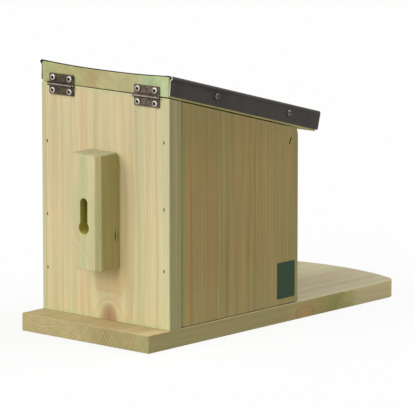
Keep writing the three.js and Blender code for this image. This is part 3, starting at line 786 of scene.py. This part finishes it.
# Side panels
sidePanel = {
    "edge": 1.2, "sawnEdge": 0.4, "topGap": 1, "bottomGap": 0.8, "backGap": 0.3, "sandedDepth": 2,
    "sandedHeight": 9, "grooveDepth": 5, "grooveGap": 0.3,
}
staple = {
    "crown": 8, "thickness": 1.5, "tilt": 25, "length": 32, "edge": 0.25, "tip": 1, "tipInset": 0.5,
    "slitLength": 7.7, "slitWidth": 1.8, "slitDepth": 2.2,
}
windowLow, windowHigh = nodeBox("front_window")
sideLook = {"across": "y", "blotches": 0.25, "edgeTint": 6}
sideLooks = {
    # painted shade: the left panel's colours are a darker, more olive copy of the right panel's pine, for
    # the side turned from the light
    "left": dict(
        pith=(-8, 66, 0), ringWidth=2.3, seed=21, contrast=0.85,
        early="#a8945f", late="#997c4c", warm="#af894c", green="#91915c", knot="#8d6a45",
        warmStreaks=[(138.9, 3.6, 0.95), (108, 10, 0.3), (64, 8, 0.35), (52, 14, 0.2)],
        greenStreaks=[(148, 6, 0.4), (88, 14, 0.3), (0, 12, 0.3), (-22, 6, 0.6)],
        tints=[
            ((-90, 109, 158), (-80, 124, 204), (1, 8, 30), (1.03, 0.94, 0.84)),
            ((-90, 134.6, -20), (-80, 137.6, 150), (1, 1.4, 60), (0.96, 0.82, 0.62)),
            ((-90, -40, 190), (-80, 200, 300), (1, 1, 70), (0.88, 0.9, 0.9)),
            ((-90, -50, -20), (-80, -24.5, 300), (1, 3, 1), (0.9, 0.88, 0.92)),
            ((-90, -40, -60), (-80, 200, 50), (1, 1, 60), (1.03, 1.09, 1.12)),
            # painted shade: darkened inside the staple's slit
            ((-85.2, -22, 176), (-80, -5, 193), (0.3, 1, 1), (0.4, 0.32, 0.2)),
        ]),
    "right": dict(
        pith=(-20, 20, 0), ringWidth=2.8, wander=7, seed=33, contrast=0.6,
        early="#d2bf88", late="#bd9c66", warm="#d0a474", green="#b3b57c", knot="#b08258",
        warmStreaks=[(96, 9, 0.5), (30, 12, 0.35)],
        greenStreaks=[(130, 10, 0.4), (60, 14, 0.3), (-20, 8, 0.5)],
        knots=[((85.5, 118, 92), (0.3, 1, 0.7), 6, 16, 15, 1)]),
}


def staplePlace(side):
    # from a staple that lies along x with its legs down -z to its place in the side panel
    low, high = nodeBox(f"rail_staple_{side}")
    outside, turn = (high.x, math.pi / 2) if side == "right" else (low.x, -math.pi / 2)
    middle = nodeMiddle(f"rail_staple_{side}")
    tilt = Matrix.Rotation(math.radians(staple["tilt"]), 4, "X")
    return Matrix.Translation((outside, middle.y, middle.z)) @ tilt @ Matrix.Rotation(turn, 4, "Y")


def windowGroove(side, low, high):
    inner, sign = (low.x, 1) if side == "right" else (high.x, -1)
    start, end = sorted((inner - sign * overrun, inner + sign * sidePanel["grooveDepth"]))
    gap = sidePanel["grooveGap"]
    return blockBetween(
        "cutter", (start, windowLow.y - gap, low.z - overrun), (end, windowHigh.y + gap, panelTop.z))


def stapleSlit(side):
    length, width, depth = staple["slitLength"] / 2, staple["slitWidth"] / 2, staple["slitDepth"]
    slit = blockBetween("cutter", (-length, -width, -depth), (length, width, overrun))
    return moved(slit, staplePlace(side))


for side in ("left", "right"):
    low, high = nodeBox(f"side_panel_{side}")
    wood = makeWood(f"{side}Pine", low, high, **sideLook, **sideLooks[side])
    front, sanded, rear = low.y, low.y + sidePanel["sandedDepth"], high.y - sidePanel["backGap"]
    floorLine = low.z + sidePanel["bottomGap"]
    frontTop, sandedTop, rearTop = (slopedTop(y) - sidePanel["topGap"] for y in (front, sanded, rear))
    panel = prism(f"sidePanel_{side}", [
        (front, floorLine), (rear, floorLine), (rear, rearTop), (sanded, sandedTop),
        (front, frontTop - sidePanel["sandedHeight"]),
    ], low.x, high.x, "x")
    roundEdges(panel, sidePanel["edge"], only=isUpright)
    roundEdges(panel, sidePanel["sawnEdge"], 3)
    carve(panel, [windowGroove(side, low, high)])
    carve(panel, [stapleSlit(side)])
    finishPiece(panel, "box", f"side_panel_{side}", "shaded_pine", wood)
print("side panels made")


# Front rail
frontRail = {"edge": 1.5}
low, high = nodeBox("front_rail")
woodRail = makeWood(
    "railPine", low, high, fibre="x", across="z", pith=(0, -60, 150), ringWidth=2.6, seed=41,
    contrast=0.55, drift=4, edgeTint=5,
    early="#d6c697", late="#c4a873", warm="#dcb78c", green="#bcc190", knot="#b98b5e",
    warmStreaks=[(173, 5, 0.4)], greenStreaks=[(185, 5, 0.3)])
rail = blockBetween("frontRail", low, high)
roundEdges(rail, frontRail["edge"])
finishPiece(rail, "box", "front_rail", "pale_pine", woodRail)


# Sliding window
windowLook = {
    "edge": 0.3, "roughness": 0.06, "scratched": 0.14, "tint": "#eef6f4", "dusty": "#dfeae6", "ior": 1.49,
}
tint = linear(windowLook["tint"])
clearPlastic, tree, shader = newMaterial(
    "clearAcrylic", tint, {"Transmission Weight": 1, "IOR": windowLook["ior"]})
place = objectPlace(tree)[0]
dust = noise(place * (0.04, 0.04, 0.025), 1, 4, 0.6)
scratches = smooth(
    dust * noise(place * (2.6, 0.9, 0.06), 1), 0.2, 0.5, windowLook["roughness"], windowLook["scratched"])
wire(scratches, shader.inputs["Roughness"])
wire(mixColour(smooth(dust, 0.35, 0.7), tint, linear(windowLook["dusty"])), shader.inputs["Base Color"])
window = blockBetween("slidingWindow", windowLow, windowHigh)
roundEdges(window, windowLook["edge"], 3)
finishPiece(window, "box", "front_window", "clear_sheet", clearPlastic)
print("rail and window made")


# Hanging block
# a crack is its place along the left side and up, half its length, half its width and its depth; the
# wane, where the log's round side cuts a corner off, is given by points measured from that corner
hangingBlock = {
    "chamfer": 4.7, "edge": 0.7, "entryRadius": 6.6, "slotWidth": 9.5, "entryRise": 42, "slotLength": 36,
    "lip": 6, "undercut": 9, "undercutGap": 0.02, "rim": 0.5,
    "cracks": [(174.4, 106.5, 7.8, 0.85, 3.5), (170.6, 105.5, 8.5, 0.6, 3)],
    "wane": [(-5, -5, 5), (5, -5, 5), (-5, 6, 5), (5, 0, 0), (0, 6, 0), (0, 0, -14), (-5, -5, -14)],
}
low, high = nodeBox("hanging_block")
woodBlock = makeWood(
    "blockPine", low, high, pith=(-12, 116, 130), tilt=(0.03, 0.02, 0), ringWidth=3.4, wander=5,
    seed=52, contrast=0.5, endRings=0.04, relief=0.12, drift=5, blotches=0.4, edgeTint=4,
    early="#d1ca9c", late="#c6a777", warm="#dbb68c", green="#b8bc86", knot="#b98b5e",
    warmStreaks=[(12, 6, 0.4), (-10, 5, 0.35)], greenStreaks=[(2, 8, 0.5)],
    knots=[((19.5, 199, 68), (1, 0.3, 0.9), 3, 16, 22, 0)],
    tints=[
        # painted shade: the left chamfer and the left side are darkened and made more olive, being turned
        # from the light
        ((-40, 193.6, 60), (-14.9, 210, 187.4), (1, 1, 0.6), (0.86, 0.82, 0.72)),
        ((-40, 150, 60), (-19, 194, 187.4), (0.8, 1, 0.6), (0.76, 0.73, 0.52)),
        ((-40, 150, 187.1), (40, 210, 200), (1, 1, 0.6), (0.75, 0.77, 0.83)),
        # painted shade: darkened inside the keyhole and its slot
        ((-7.2, 150, 100), (7.2, 198.6, 150), (0.4, 0.6, 1), (0.85, 0.8, 0.31)),
        # painted shade: darkened inside the two cracks
        ((-19.3, 168.6, 93), (-12, 177, 118), (0.3, 0.4, 1), (0.16, 0.14, 0.08)),
    ])
chamfer = hangingBlock["chamfer"]
slotHalf, entryRadius = hangingBlock["slotWidth"] / 2, hangingBlock["entryRadius"]
entryZ = low.z + hangingBlock["entryRise"]
slotZ = entryZ - entryRadius + hangingBlock["slotLength"] - slotHalf
lipFloor = high.y - hangingBlock["lip"]


def keyholeCutter():
    # a round entry with a narrower slot running up from it
    join = math.asin(slotHalf / entryRadius)
    outline = arc(0, entryZ, entryRadius, math.pi / 2 + join, 2.5 * math.pi - join, 40)
    outline += arc(0, slotZ, slotHalf, 0, math.pi, 20)
    return prism("cutter", outline, lipFloor - 1, high.y + overrun, "y")


def undercutCutter():
    radius = entryRadius + hangingBlock["undercutGap"]
    outline = arc(0, entryZ, radius, math.pi, 2 * math.pi, 24) + arc(0, slotZ, radius, 0, math.pi, 24)
    return prism("cutter", outline, lipFloor - hangingBlock["undercut"], lipFloor, "y")


def isKeyholeRim(a, b):
    return min(a.y, b.y) > high.y - 0.01 and max(abs(a.x), abs(b.x)) < entryRadius + 1


def waneCutter():
    bm = bmesh.new()
    for x, y, z in hangingBlock["wane"]:
        bm.verts.new((low.x + x, low.y + y, high.z + z))
    bmesh.ops.convex_hull(bm, input=bm.verts)
    return linkMesh("cutter", bm)


def crackCutter(y, z, halfLength, halfWidth, depth):
    # a split with pointed ends, widest at its middle, in the block's left face
    outline = [
        (y, z - halfLength), (y + halfWidth, z - 1), (y + 0.4 * halfWidth, z + 0.5 * halfLength),
        (y, z + halfLength), (y - 0.7 * halfWidth, z + 1), (y - halfWidth, z - 0.4 * halfLength)]
    return prism("cutter", outline, low.x - 1, low.x + depth, "x")


block = prism("hangingBlock", [
    (low.x, low.y), (high.x, low.y), (high.x, high.y - chamfer), (high.x - chamfer, high.y),
    (low.x + chamfer, high.y), (low.x, high.y - chamfer),
], low.z, high.z, "z")
roundEdges(block, hangingBlock["edge"], 3)
carve(block, [keyholeCutter()])
carve(block, [undercutCutter()])
roundEdges(block, hangingBlock["rim"], 2, only=isKeyholeRim)
carve(block, [waneCutter()] + [crackCutter(*crack) for crack in hangingBlock["cracks"]])
finishPiece(block, "box", "hanging_block", "green_pine", woodBlock)
print("hanging block made")


# Roof board, made with x across, y out of the roof and z down the slope from the back
roof = {
    "thickness": 17.5, "boardEdge": 0.7, "boxDepth": 194, "overhang": 28, "lidGap": 0.3, "sheetReach": 1.5,
    "setback": 0.1, "leftShear": 0.156, "rightShear": 0.222, "reveal": 1.8, "steps": 14, "topGap": 0.25,
    "edgeInset": 0.5, "edgeRise": 0.05,
}
roofSheet = {
    "halfWidth": 85.5, "thickness": 1, "bendRadius": 2.3, "standoff": 2.3, "lift": 2.35, "bendHeight": 5,
    "liftShare": 0.88, "gap": 0.1, "steps": 8,
}
roofLength = (roof["boxDepth"] + roof["overhang"]) / math.cos(roofSlope)
downSlope = (
    Matrix.Translation((0, panelTop.y, panelTop.z + roof["lidGap"]))
    @ Matrix.Rotation(math.pi / 2 + roofSlope, 4, "X"))
low, high = nodeBox("roof_board")
woodRoof = makeWood(
    "roofPine", low, high, fibre="y", pith=(58, 0, 200), tilt=(roofSlope, 0, 0), ringWidth=4, wander=7,
    seed=61, contrast=0.3, endRings=0.05, relief=0.12, drift=8, blotches=0.35, edgeTint=5,
    early="#c8c590", late="#b5a56f", warm="#ccae80", green="#a9b57a", knot="#b08258",
    warmStreaks=[(20, 14, 0.4)], greenStreaks=[(76, 16, 0.6), (-60, 26, 0.8)],
    tints=[
        ((10, 167.4, 240), (200, 180, 280), (60, 0.4, 1), (0.81, 0.78, 0.69)),
        ((70, 167.4, 253), (200, 180, 290), (16, 0.4, 8), (1.12, 1.12, 1.28)),
        ((-50, 167.4, 240), (30, 180, 280), (30, 0.4, 1), (0.93, 0.86, 0.88)),
        ((-83.4, 167.4, 240), (-45, 180, 280), (2, 0.4, 1), (0.98, 1.1, 1.24)),
        # painted light: the board's left side below the flap is lightened where the flap shades it, and the
        # strip just behind the flap's rear edge is painted pale, a painted highlight
        ((-90, -90, 100), (-83.7, 164, 280), (0.6, 2, 1), (1.4, 1.3, 1.1)),
        ((-90, 165, 240), (-83.7, 167.4, 280), (0.6, 0.6, 1), (1.5, 1.6, 1.9)),
    ])


def sheetLine(standoff, values=roofSheet):
    # the sheet's middle line across the roof, whose bends stand off the board's edges
    top = roof["thickness"] + values["gap"] + values["thickness"] / 2
    crown = top + values["lift"]
    flush = values["halfWidth"] - values["thickness"] / 2
    liftStart = flush * (1 - values["liftShare"])
    crest = flush + standoff
    bend = values["bendRadius"]
    flapStart = (flush, crown - values["bendHeight"])
    bendEnd = (crest, crown - bend)
    steps = values["steps"]
    right = curvePoints((liftStart, top), ((liftStart + flush) / 2, top), (crest - bend, crown), steps)
    right += curvePoints((crest - bend, crown), (crest, crown), bendEnd, steps)[1:]
    right += curvePoints(bendEnd, (flush, (bendEnd[1] + flapStart[1]) / 2), flapStart, steps)[1:]
    right += [(flush, (flapStart[1] + roof["reveal"]) / 2), (flush, roof["reveal"])]
    return [(-x, y) for x, y in reversed(right)] + right


halfRoof = high.x
underSheet = roofSheet["thickness"] / 2 + roof["topGap"]
boardTop = [
    (x, y - underSheet) for x, y in sheetLine(roofSheet["standoff"])
    if abs(x) < halfRoof - roof["edgeInset"] and y > roof["thickness"]]
topEnd = boardTop[-1][1] + roof["edgeRise"]
board = prism("roofBoard", [
    (halfRoof, 0), (halfRoof, topEnd), *reversed(boardTop), (-halfRoof, topEnd), (-halfRoof, 0),
], 0, roofLength, "z")
roundEdges(board, roof["boardEdge"], sharperThan=40)
for vertex in board.data.vertices:
    # the back end is cut off plumb, the front end stays square to the slope
    if vertex.co.z < roofLength / 2:
        vertex.co.z -= vertex.co.y * slopeRise
moved(board, downSlope)
finishPiece(board, "lid", "roof_board", "green_pine", woodRoof, sharperThan=20)
print("roof board made")


# Roof sheet: its rear edge leans back more at the right end than at the left
rows = []
sheetRun = roofLength + roof["sheetReach"] - roof["setback"]
for i in range(roof["steps"] + 1):
    share = i / roof["steps"]
    along = roof["setback"] + sheetRun * share
    line = sheetLine(roofSheet["standoff"] * (1 - share))
    fade = max(0, 1 - 2 * share)
    row = []
    for x, y in thicken(line, [roofSheet["thickness"]] * len(line)):
        toRight = 0.5 + 0.5 * x / roofSheet["halfWidth"]
        shear = roof["leftShear"] + (roof["rightShear"] - roof["leftShear"]) * toRight
        row.append((x, y, along - y * fade * shear))
    rows.append(row)
sheet = loft("roofSheet", rows, bandEnds=True)
# only the left flap's cut ends get the bright metal, a painted highlight; the right flap's stay the sheet's
# colour
onLeftFlap = roofSheet["thickness"] * 2 - roofSheet["halfWidth"]
markFaces(sheet, 1, lambda middle, normal: abs(normal.z) > 0.9 and middle.x < onLeftFlap)
moved(sheet, downSlope)
finishPiece(sheet, "lid", "roof_sheet", "roof_metal", sheetMetal, cutEdgeHighlightMetal)
print("roof sheet made")


# Hinges
hinge = {
    "width": 33, "leaf": 10.4, "thickness": 1.2, "curlThickness": 1, "barrel": 2.2, "pin": 1.1, "gap": 0.3,
    "corner": 1, "screwInset": 5.3, "screwDrop": 6.4, "holeRadius": 1.7, "spareHole": 1.1, "notchGap": 0.15,
    "plateStart": 2.6, "bendControl": 1.4, "curlDegrees": 305, "capRadius": 0.75, "capEdge": 0.38,
    "capHeight": 0.5,
}


def leafOutline(values):
    # the section of one leaf: a flat plate that curls round the pin, which is at (0, 0)
    plateMiddle = values["thickness"] / 2 - values["barrel"] - values["gap"]
    curl = values["barrel"] - values["curlThickness"] / 2
    plateStart = (plateMiddle, values["plateStart"])
    line = [(plateMiddle, values["leaf"])]
    line += curvePoints(plateStart, (plateMiddle, values["bendControl"]), (-curl, 0), 4)
    line += arc(0, 0, curl, math.pi, math.pi + math.radians(values["curlDegrees"]), 24)[1:]
    change = values["curlThickness"] - values["thickness"]
    widths = [values["thickness"] + change * min(max((i - 1) / 5, 0), 1) for i in range(len(line))]
    return thicken(line, widths, mitred=False)


def makeLeaf(name, kind):
    half, knuckle = hinge["width"] / 2, hinge["width"] / 6
    leaf = prism(name, leafOutline(hinge), -half, half, "x")
    # only the two corners at the plate's free end are rounded
    plateEnd = hinge["leaf"] - 0.1
    roundEdges(leaf, hinge["corner"], only=lambda a, b: min(a.z, b.z) > plateEnd and abs(a.y - b.y) > 0.5)
    inner, outer = knuckle - hinge["notchGap"], knuckle + hinge["notchGap"]
    notches = {"lid": [(-half - 1, -inner), (inner, half + 1)], "fixed": [(-outer, outer)]}[kind]
    top = hinge["barrel"] + hinge["gap"]
    holes = [
        blockBetween("cutter", (start, -overrun, -overrun), (end, overrun, top)) for start, end in notches]
    screwX = half - hinge["screwInset"]
    for x, size in ((screwX, "holeRadius"), (-screwX, "holeRadius"), (0, "spareHole")):
        radius = hinge[size]
        profile = [(0, -overrun), (radius, -overrun), (radius, overrun), (0, overrun)]
        rod = turned("cutter", profile, segments=32)
        holes.append(shifted(rotated(rod, -90, "X"), (x, 0, hinge["screwDrop"])))
    carve(leaf, holes)
    return rotated(leaf, 180, "Y") if kind == "fixed" else leaf


def makePin(name):
    half = hinge["width"] / 2
    endCap = [
        (hinge["pin"], half), (hinge["capRadius"], half + hinge["capEdge"]), (0, half + hinge["capHeight"])]
    pin = turned(name, [(radius, -z) for radius, z in reversed(endCap)] + endCap, segments=32)
    return rotated(pin, 90, "Y")


for side in ("right", "left"):
    middle = nodeMiddle(f"hinge_pin_{side}")
    for kind, body in (("fixed", "box"), ("lid", "lid")):
        leaf = shifted(makeLeaf(f"hingeLeaf_{side}_{kind}", kind), middle)
        finishPiece(leaf, body, f"hinge_leaf_{side}_{kind}", "hinge_steel", hingeMetal)
    pin = shifted(makePin(f"hingePin_{side}"), middle)
    finishPiece(pin, "box", f"hinge_pin_{side}", "bright_steel", screwMetal)
print("hinges made")


# Screws, made with the head up along z and its seat at z = 0
panHead = {
    "radius": 3.2, "height": 1.9, "shank": 1.4, "length": 12, "arm": 1.95, "slot": 0.6, "depth": 1.6,
    "dimple": 2.15,
}
flapHead = {**panHead, "radius": 2.9, "arm": 1.75, "slot": 0.55, "dimple": 1.6}
sunkHead = {
    "radius": 3.8, "height": 3.6, "shank": 1.8, "length": 36, "arm": 2.2, "slot": 0.6, "depth": 2,
    "dimple": 1.4,
}
thread = {
    "pitch": 1.2, "flank": 0.7, "root": 0.75, "plain": 0.8, "tip": 0.3, "pointLength": 0.6, "tipLength": 3,
    "start": 0.4, "run": 2, "neck": 0.2,
}
# a pan head's rim is a share of its height; the recess narrows from mouth to floor by shares of its width
dome = {"rim": 0.42, "roundness": 0.75, "lowerEdge": 0.1, "sideEdge": 0.15, "steps": 8}
recess = {
    "floor": 0.45, "mouth": 1.08, "slotFloor": 0.6, "slotGrow": 0.4, "above": 0.5, "dimpleDepth": 0.7,
    "dimpleFloor": 0.3, "darkReach": 1.15, "steepness": 0.75, "brightDepth": 0.3,
}


def threadProfile(values, top):
    # ridges from the tip up to the plain part of the shank
    shank, length = values["shank"], values["length"]
    root = shank * thread["root"]
    points = [
        (0, -length), (thread["tip"], thread["pointLength"] - length), (root, thread["tipLength"] - length)]
    height = thread["tipLength"] + thread["start"] - length
    while height < top - thread["run"]:
        points += [(shank, height), (root, height + thread["flank"])]
        height += thread["pitch"]
    return points + [(shank * thread["plain"], top)]


def sunkProfile(values):
    seat = -values["height"]
    profile = threadProfile(values, seat)
    return profile + [(values["shank"], seat + thread["neck"]), (values["radius"], 0), (0, 0)]


def panProfile(values):
    radius, crown = values["radius"], values["height"]
    rim = crown * dome["rim"]
    profile = threadProfile(values, -thread["neck"])
    profile += [
        (values["shank"], 0), (radius - dome["lowerEdge"], 0), (radius, dome["sideEdge"]), (radius, rim)]
    for i in range(1, dome["steps"]):
        angle = math.pi / 2 * i / dome["steps"]
        out = radius * math.cos(angle) ** dome["roundness"]
        profile.append((out, rim + (crown - rim) * math.sin(angle)))
    return profile + [(0, crown)]


def crossRecess(values, top):
    # a cross with walls that lean inwards to the bottom
    cutters = []
    over = top + recess["above"]
    for turn in (0, 90):
        rows = []
        for height, grow in ((top - values["depth"], recess["floor"]), (over, recess["mouth"])):
            arm = values["arm"] * grow
            slot = values["slot"] * (recess["slotFloor"] + recess["slotGrow"] * grow)
            corners = ((-arm, -slot), (arm, -slot), (arm, slot), (-arm, slot))
            rows.append([(x, y, height) for x, y in corners])
        cutters.append(rotated(loft("cutter", rows), turn, "Z"))
    bottom, wide = top - values["depth"] * recess["dimpleDepth"], values["dimple"]
    profile = [(0, bottom), (recess["dimpleFloor"], bottom), (wide, top), (wide, over), (0, over)]
    return cutters + [turned("cutter", profile, segments=28)]


def screwMesh(name, values, profile, top, metal):
    screw = turned(name, profile, segments=40)
    carve(screw, crossRecess(values, top))
    reach, floor = values["arm"] * recess["darkReach"], top - values["depth"] - 0.05
    bright = top - recess["brightDepth"]
    # the recess's steep walls and deep floor take the second slot, painted shade
    markFaces(screw, 1, lambda middle, normal: (
        math.hypot(middle.x, middle.y) < reach and middle.z > floor
        and (abs(normal.z) < recess["steepness"] or middle.z < bright)))
    mesh = screw.data
    smoothMesh(mesh, (metal, recessShadeMetal))
    bpy.data.objects.remove(screw)
    return mesh


hingeScrewMesh = screwMesh("panScrew", panHead, panProfile(panHead), panHead["height"], screwMetal)
flapScrewMesh = screwMesh("flapScrew", flapHead, panProfile(flapHead), flapHead["height"], shadedFlapScrewMetal)
sunkMesh = screwMesh("sunkScrew", sunkHead, sunkProfile(sunkHead), 0, screwMetal)
# for each kind: the pieces' name, the mesh, how far the head stands up, and the way it faces
screwKinds = {
    "hinge_screw": ("hingeScrew", hingeScrewMesh, panHead["height"], (0, 1, 0)),
    "roof_screw_right": ("roofScrew_right", flapScrewMesh, panHead["height"], (1, 0, 0)),
    "roof_screw_left": ("roofScrew_left", flapScrewMesh, panHead["height"], (-1, 0, 0)),
    "base_screw": ("baseScrew", sunkMesh, 0, (0, 0, -1)),
    "block_screw": ("blockScrew", sunkMesh, 0, (0, -1, 0)),
}


def placeScrew(node, kind, turn):
    # turn spins the screw about its own length
    name, mesh, headHeight, heading = screwKinds[kind]
    heading = Vector(heading)
    low, high = nodeBox(node)
    reach = abs((high - low).dot(heading)) / 2 - headHeight
    piece = addObject(node.replace(kind, name), mesh)
    facing = heading.to_track_quat("Z", "Y").to_matrix().to_4x4()
    spot = nodeMiddle(node) + heading * reach
    piece.matrix_world = Matrix.Translation(spot * mm) @ facing @ Matrix.Rotation(turn, 4, "Z")
    body = "lid" if "_lid_" in node or kind.startswith("roof") else "box"
    handOver(piece, body, node, weight=50)


spin = 0.4
for node in nodeNames:
    spin += 0.83
    for kind in screwKinds:
        if node.startswith(kind):
            placeScrew(node, kind, spin)
print("screws made")


# Brads and staples
brad = {"thickness": 1.5, "headThickness": 0.9, "tip": 3, "tipShare": 0.4, "edge": 0.2}
for node in nodesOf("back_brad"):
    low, high = nodeBox(node)
    middle = nodeMiddle(node)
    shank = brad["thickness"] / 2
    under = high.y - brad["headThickness"]
    top = high.z - middle.z
    half = [
        (low.y, shank * brad["tipShare"]), (low.y + brad["tip"], shank), (under, shank), (under, top),
        (high.y, top)]
    outline = [(y, middle.z - z) for y, z in half] + [(y, middle.z + z) for y, z in reversed(half)]
    piece = prism(node.replace("back_brad", "backBrad"), outline, middle.x - shank, middle.x + shank, "x")
    roundEdges(piece, brad["edge"], 2, sharperThan=50)
    finishPiece(piece, "box", node, "nail_steel", fadedNailMetal if node in fadedBrads else nailMetal)

for side in ("left", "right"):
    outer = staple["crown"] / 2
    thickness, length = staple["thickness"], staple["length"]
    tip = staple["tip"] - length
    half = [
        (outer - thickness, -thickness), (outer - thickness, tip), (outer - staple["tipInset"], -length),
        (outer, tip), (outer, 0)]
    outline = [(-x, z) for x, z in reversed(half)] + half
    piece = prism(f"railStaple_{side}", outline, -thickness / 2, thickness / 2, "y")
    roundEdges(piece, staple["edge"], 2, sharperThan=50)
    moved(piece, staplePlace(side))
    finishPiece(piece, "box", f"rail_staple_{side}", "nail_steel", stapleMetal)
print("brads and staples made")


# Plain label on the left side panel
label = {
    "corner": 1, "ink": "#24432f", "dark": "#233e26", "light": "#2e4730", "rubbed": "#7d8c74",
    "rubWidth": 0.6, "rub": 0.25, "relief": 0.03,
}
low, high = nodeBox("plain_label")
labelInk, tree, shader = newMaterial("labelInk", linear(label["ink"]), {"Specular IOR Level": 0.2})
place = objectPlace(tree)[0]
mottle = smooth(noise(place, 0.5, 4, 0.6), 0.3, 0.7)
paper = noise(place, 4, 2, 0.6)
rub = useGroup(edgeGroup, position=place, low=low, high=high, width=label["rubWidth"])["edge"]
colour = mixColour(mottle, linear(label["dark"]), linear(label["light"]))
colour = mixColour(rub * label["rub"], colour, linear(label["rubbed"]))
surface = {"color": colour, "roughness": smooth(paper, 0.3, 0.7, 0.38, 0.52), "height": paper}
dress(shader, place, surface, [], strength=0.3, relief=label["relief"])
corner = label["corner"]
left, bottom, right, top = low.y + corner, low.z + corner, high.y - corner, high.z - corner
outline = []
for i, (y, z) in enumerate(((left, bottom), (right, bottom), (right, top), (left, top))):
    start = math.pi * (1 + i / 2)
    outline += arc(y, z, corner, start, start + math.pi / 2, 6)
plate = prism("plainLabel", outline, low.x, high.x, "x")
finishPiece(plate, "box", "plain_label", "label_green", labelInk)
print("label made")


# Camera, where the photograph was taken from
camera = {
    "target": (-78.41, 104.25, 131.355), "distance": 4263.4, "azimuth": 221.335, "elevation": 10.184,
    "lens": 375.5, "sensor": 36, "farthest": 60,
}


def direction(values):
    # from the object towards a camera or a lamp
    azimuth, elevation = math.radians(values["azimuth"]), math.radians(values["elevation"])
    flat = math.cos(elevation)
    return Vector((math.sin(azimuth) * flat, -math.cos(azimuth) * flat, math.sin(elevation)))


view = direction(camera)
cameraData = bpy.data.cameras.new("camera")
cameraData.lens = camera["lens"]
cameraData.sensor_width = camera["sensor"]
cameraData.clip_end = camera["farthest"]
scene.camera = addObject("camera", cameraData)
scene.camera.location = (Vector(camera["target"]) + view * camera["distance"]) * mm
scene.camera.rotation_euler = (-view).to_track_quat("-Z", "Y").to_euler()


# Light: a soft key from the upper left behind the camera, a high lamp towards the front, and white
# surroundings that are dimmer for the light they cast than for what the camera and metal see
lamps = {
    "keyLamp": {"azimuth": 165, "elevation": 36, "strength": 2.35, "softness": 60},
    "highLamp": {"azimuth": -40, "elevation": 55, "strength": 1.8, "softness": 50},
}
studio = {
    "fill": 0.33, "floorSize": 9, "floorColour": "#a9a8a6", "floorGlow": 1.16, "floorGlowShare": 0.75,
    "floorDrop": 0.0002,
}
for name, values in lamps.items():
    lampData = bpy.data.lights.new(name, "SUN")
    lampData.energy = values["strength"]
    lampData.angle = math.radians(values["softness"])
    lamp = addObject(name, lampData)
    lamp.rotation_euler = direction(values).to_track_quat("Z", "Y").to_euler()


def seenDirectly(tree):
    # 1 for what the camera, metal and clear plastic see, 0 for light that falls on a surface
    path = tree.nodes.new("ShaderNodeLightPath")
    camera, metal, clear = (
        Signal(tree, path.outputs[f"Is {kind} Ray"]) for kind in ("Camera", "Glossy", "Transmission"))
    return calc("MAXIMUM", calc("MAXIMUM", camera, metal), clear)


world = bpy.data.worlds.new("studio")
scene.world = world
world.use_nodes = True
background = world.node_tree.nodes["Background"]
background.inputs["Color"].default_value = (1, 1, 1, 1)
wire(smooth(seenDirectly(world.node_tree), 0, 1, studio["fill"], 1), background.inputs["Strength"])


# Floor
bm = bmesh.new()
size, drop = studio["floorSize"], studio["floorDrop"]
corners = ((-size, -size), (size, -size), (size, size), (-size, size))
bm.faces.new([bm.verts.new((x, y, -drop)) for x, y in corners])
floor = linkMesh("floor", bm)
paint = linear(studio["floorColour"])
floorMaterial, tree, shader = newMaterial(
    "floorPaint", paint, {"Base Color": paint, "Roughness": 0.9, "Specular IOR Level": 0})
glow = addNode(tree, "ShaderNodeEmission", {"Strength": studio["floorGlow"]})
mix = addNode(tree, "ShaderNodeMixShader", [seenDirectly(tree) * studio["floorGlowShare"]])
surface = tree.nodes["Material Output"].inputs["Surface"]
for source, socket in ((shader, mix.inputs[1]), (glow, mix.inputs[2]), (mix, surface)):
    tree.links.new(source.outputs[0], socket)
floor.data.materials.append(floorMaterial)

scene.view_settings.view_transform = "Standard"

print("scene finished")
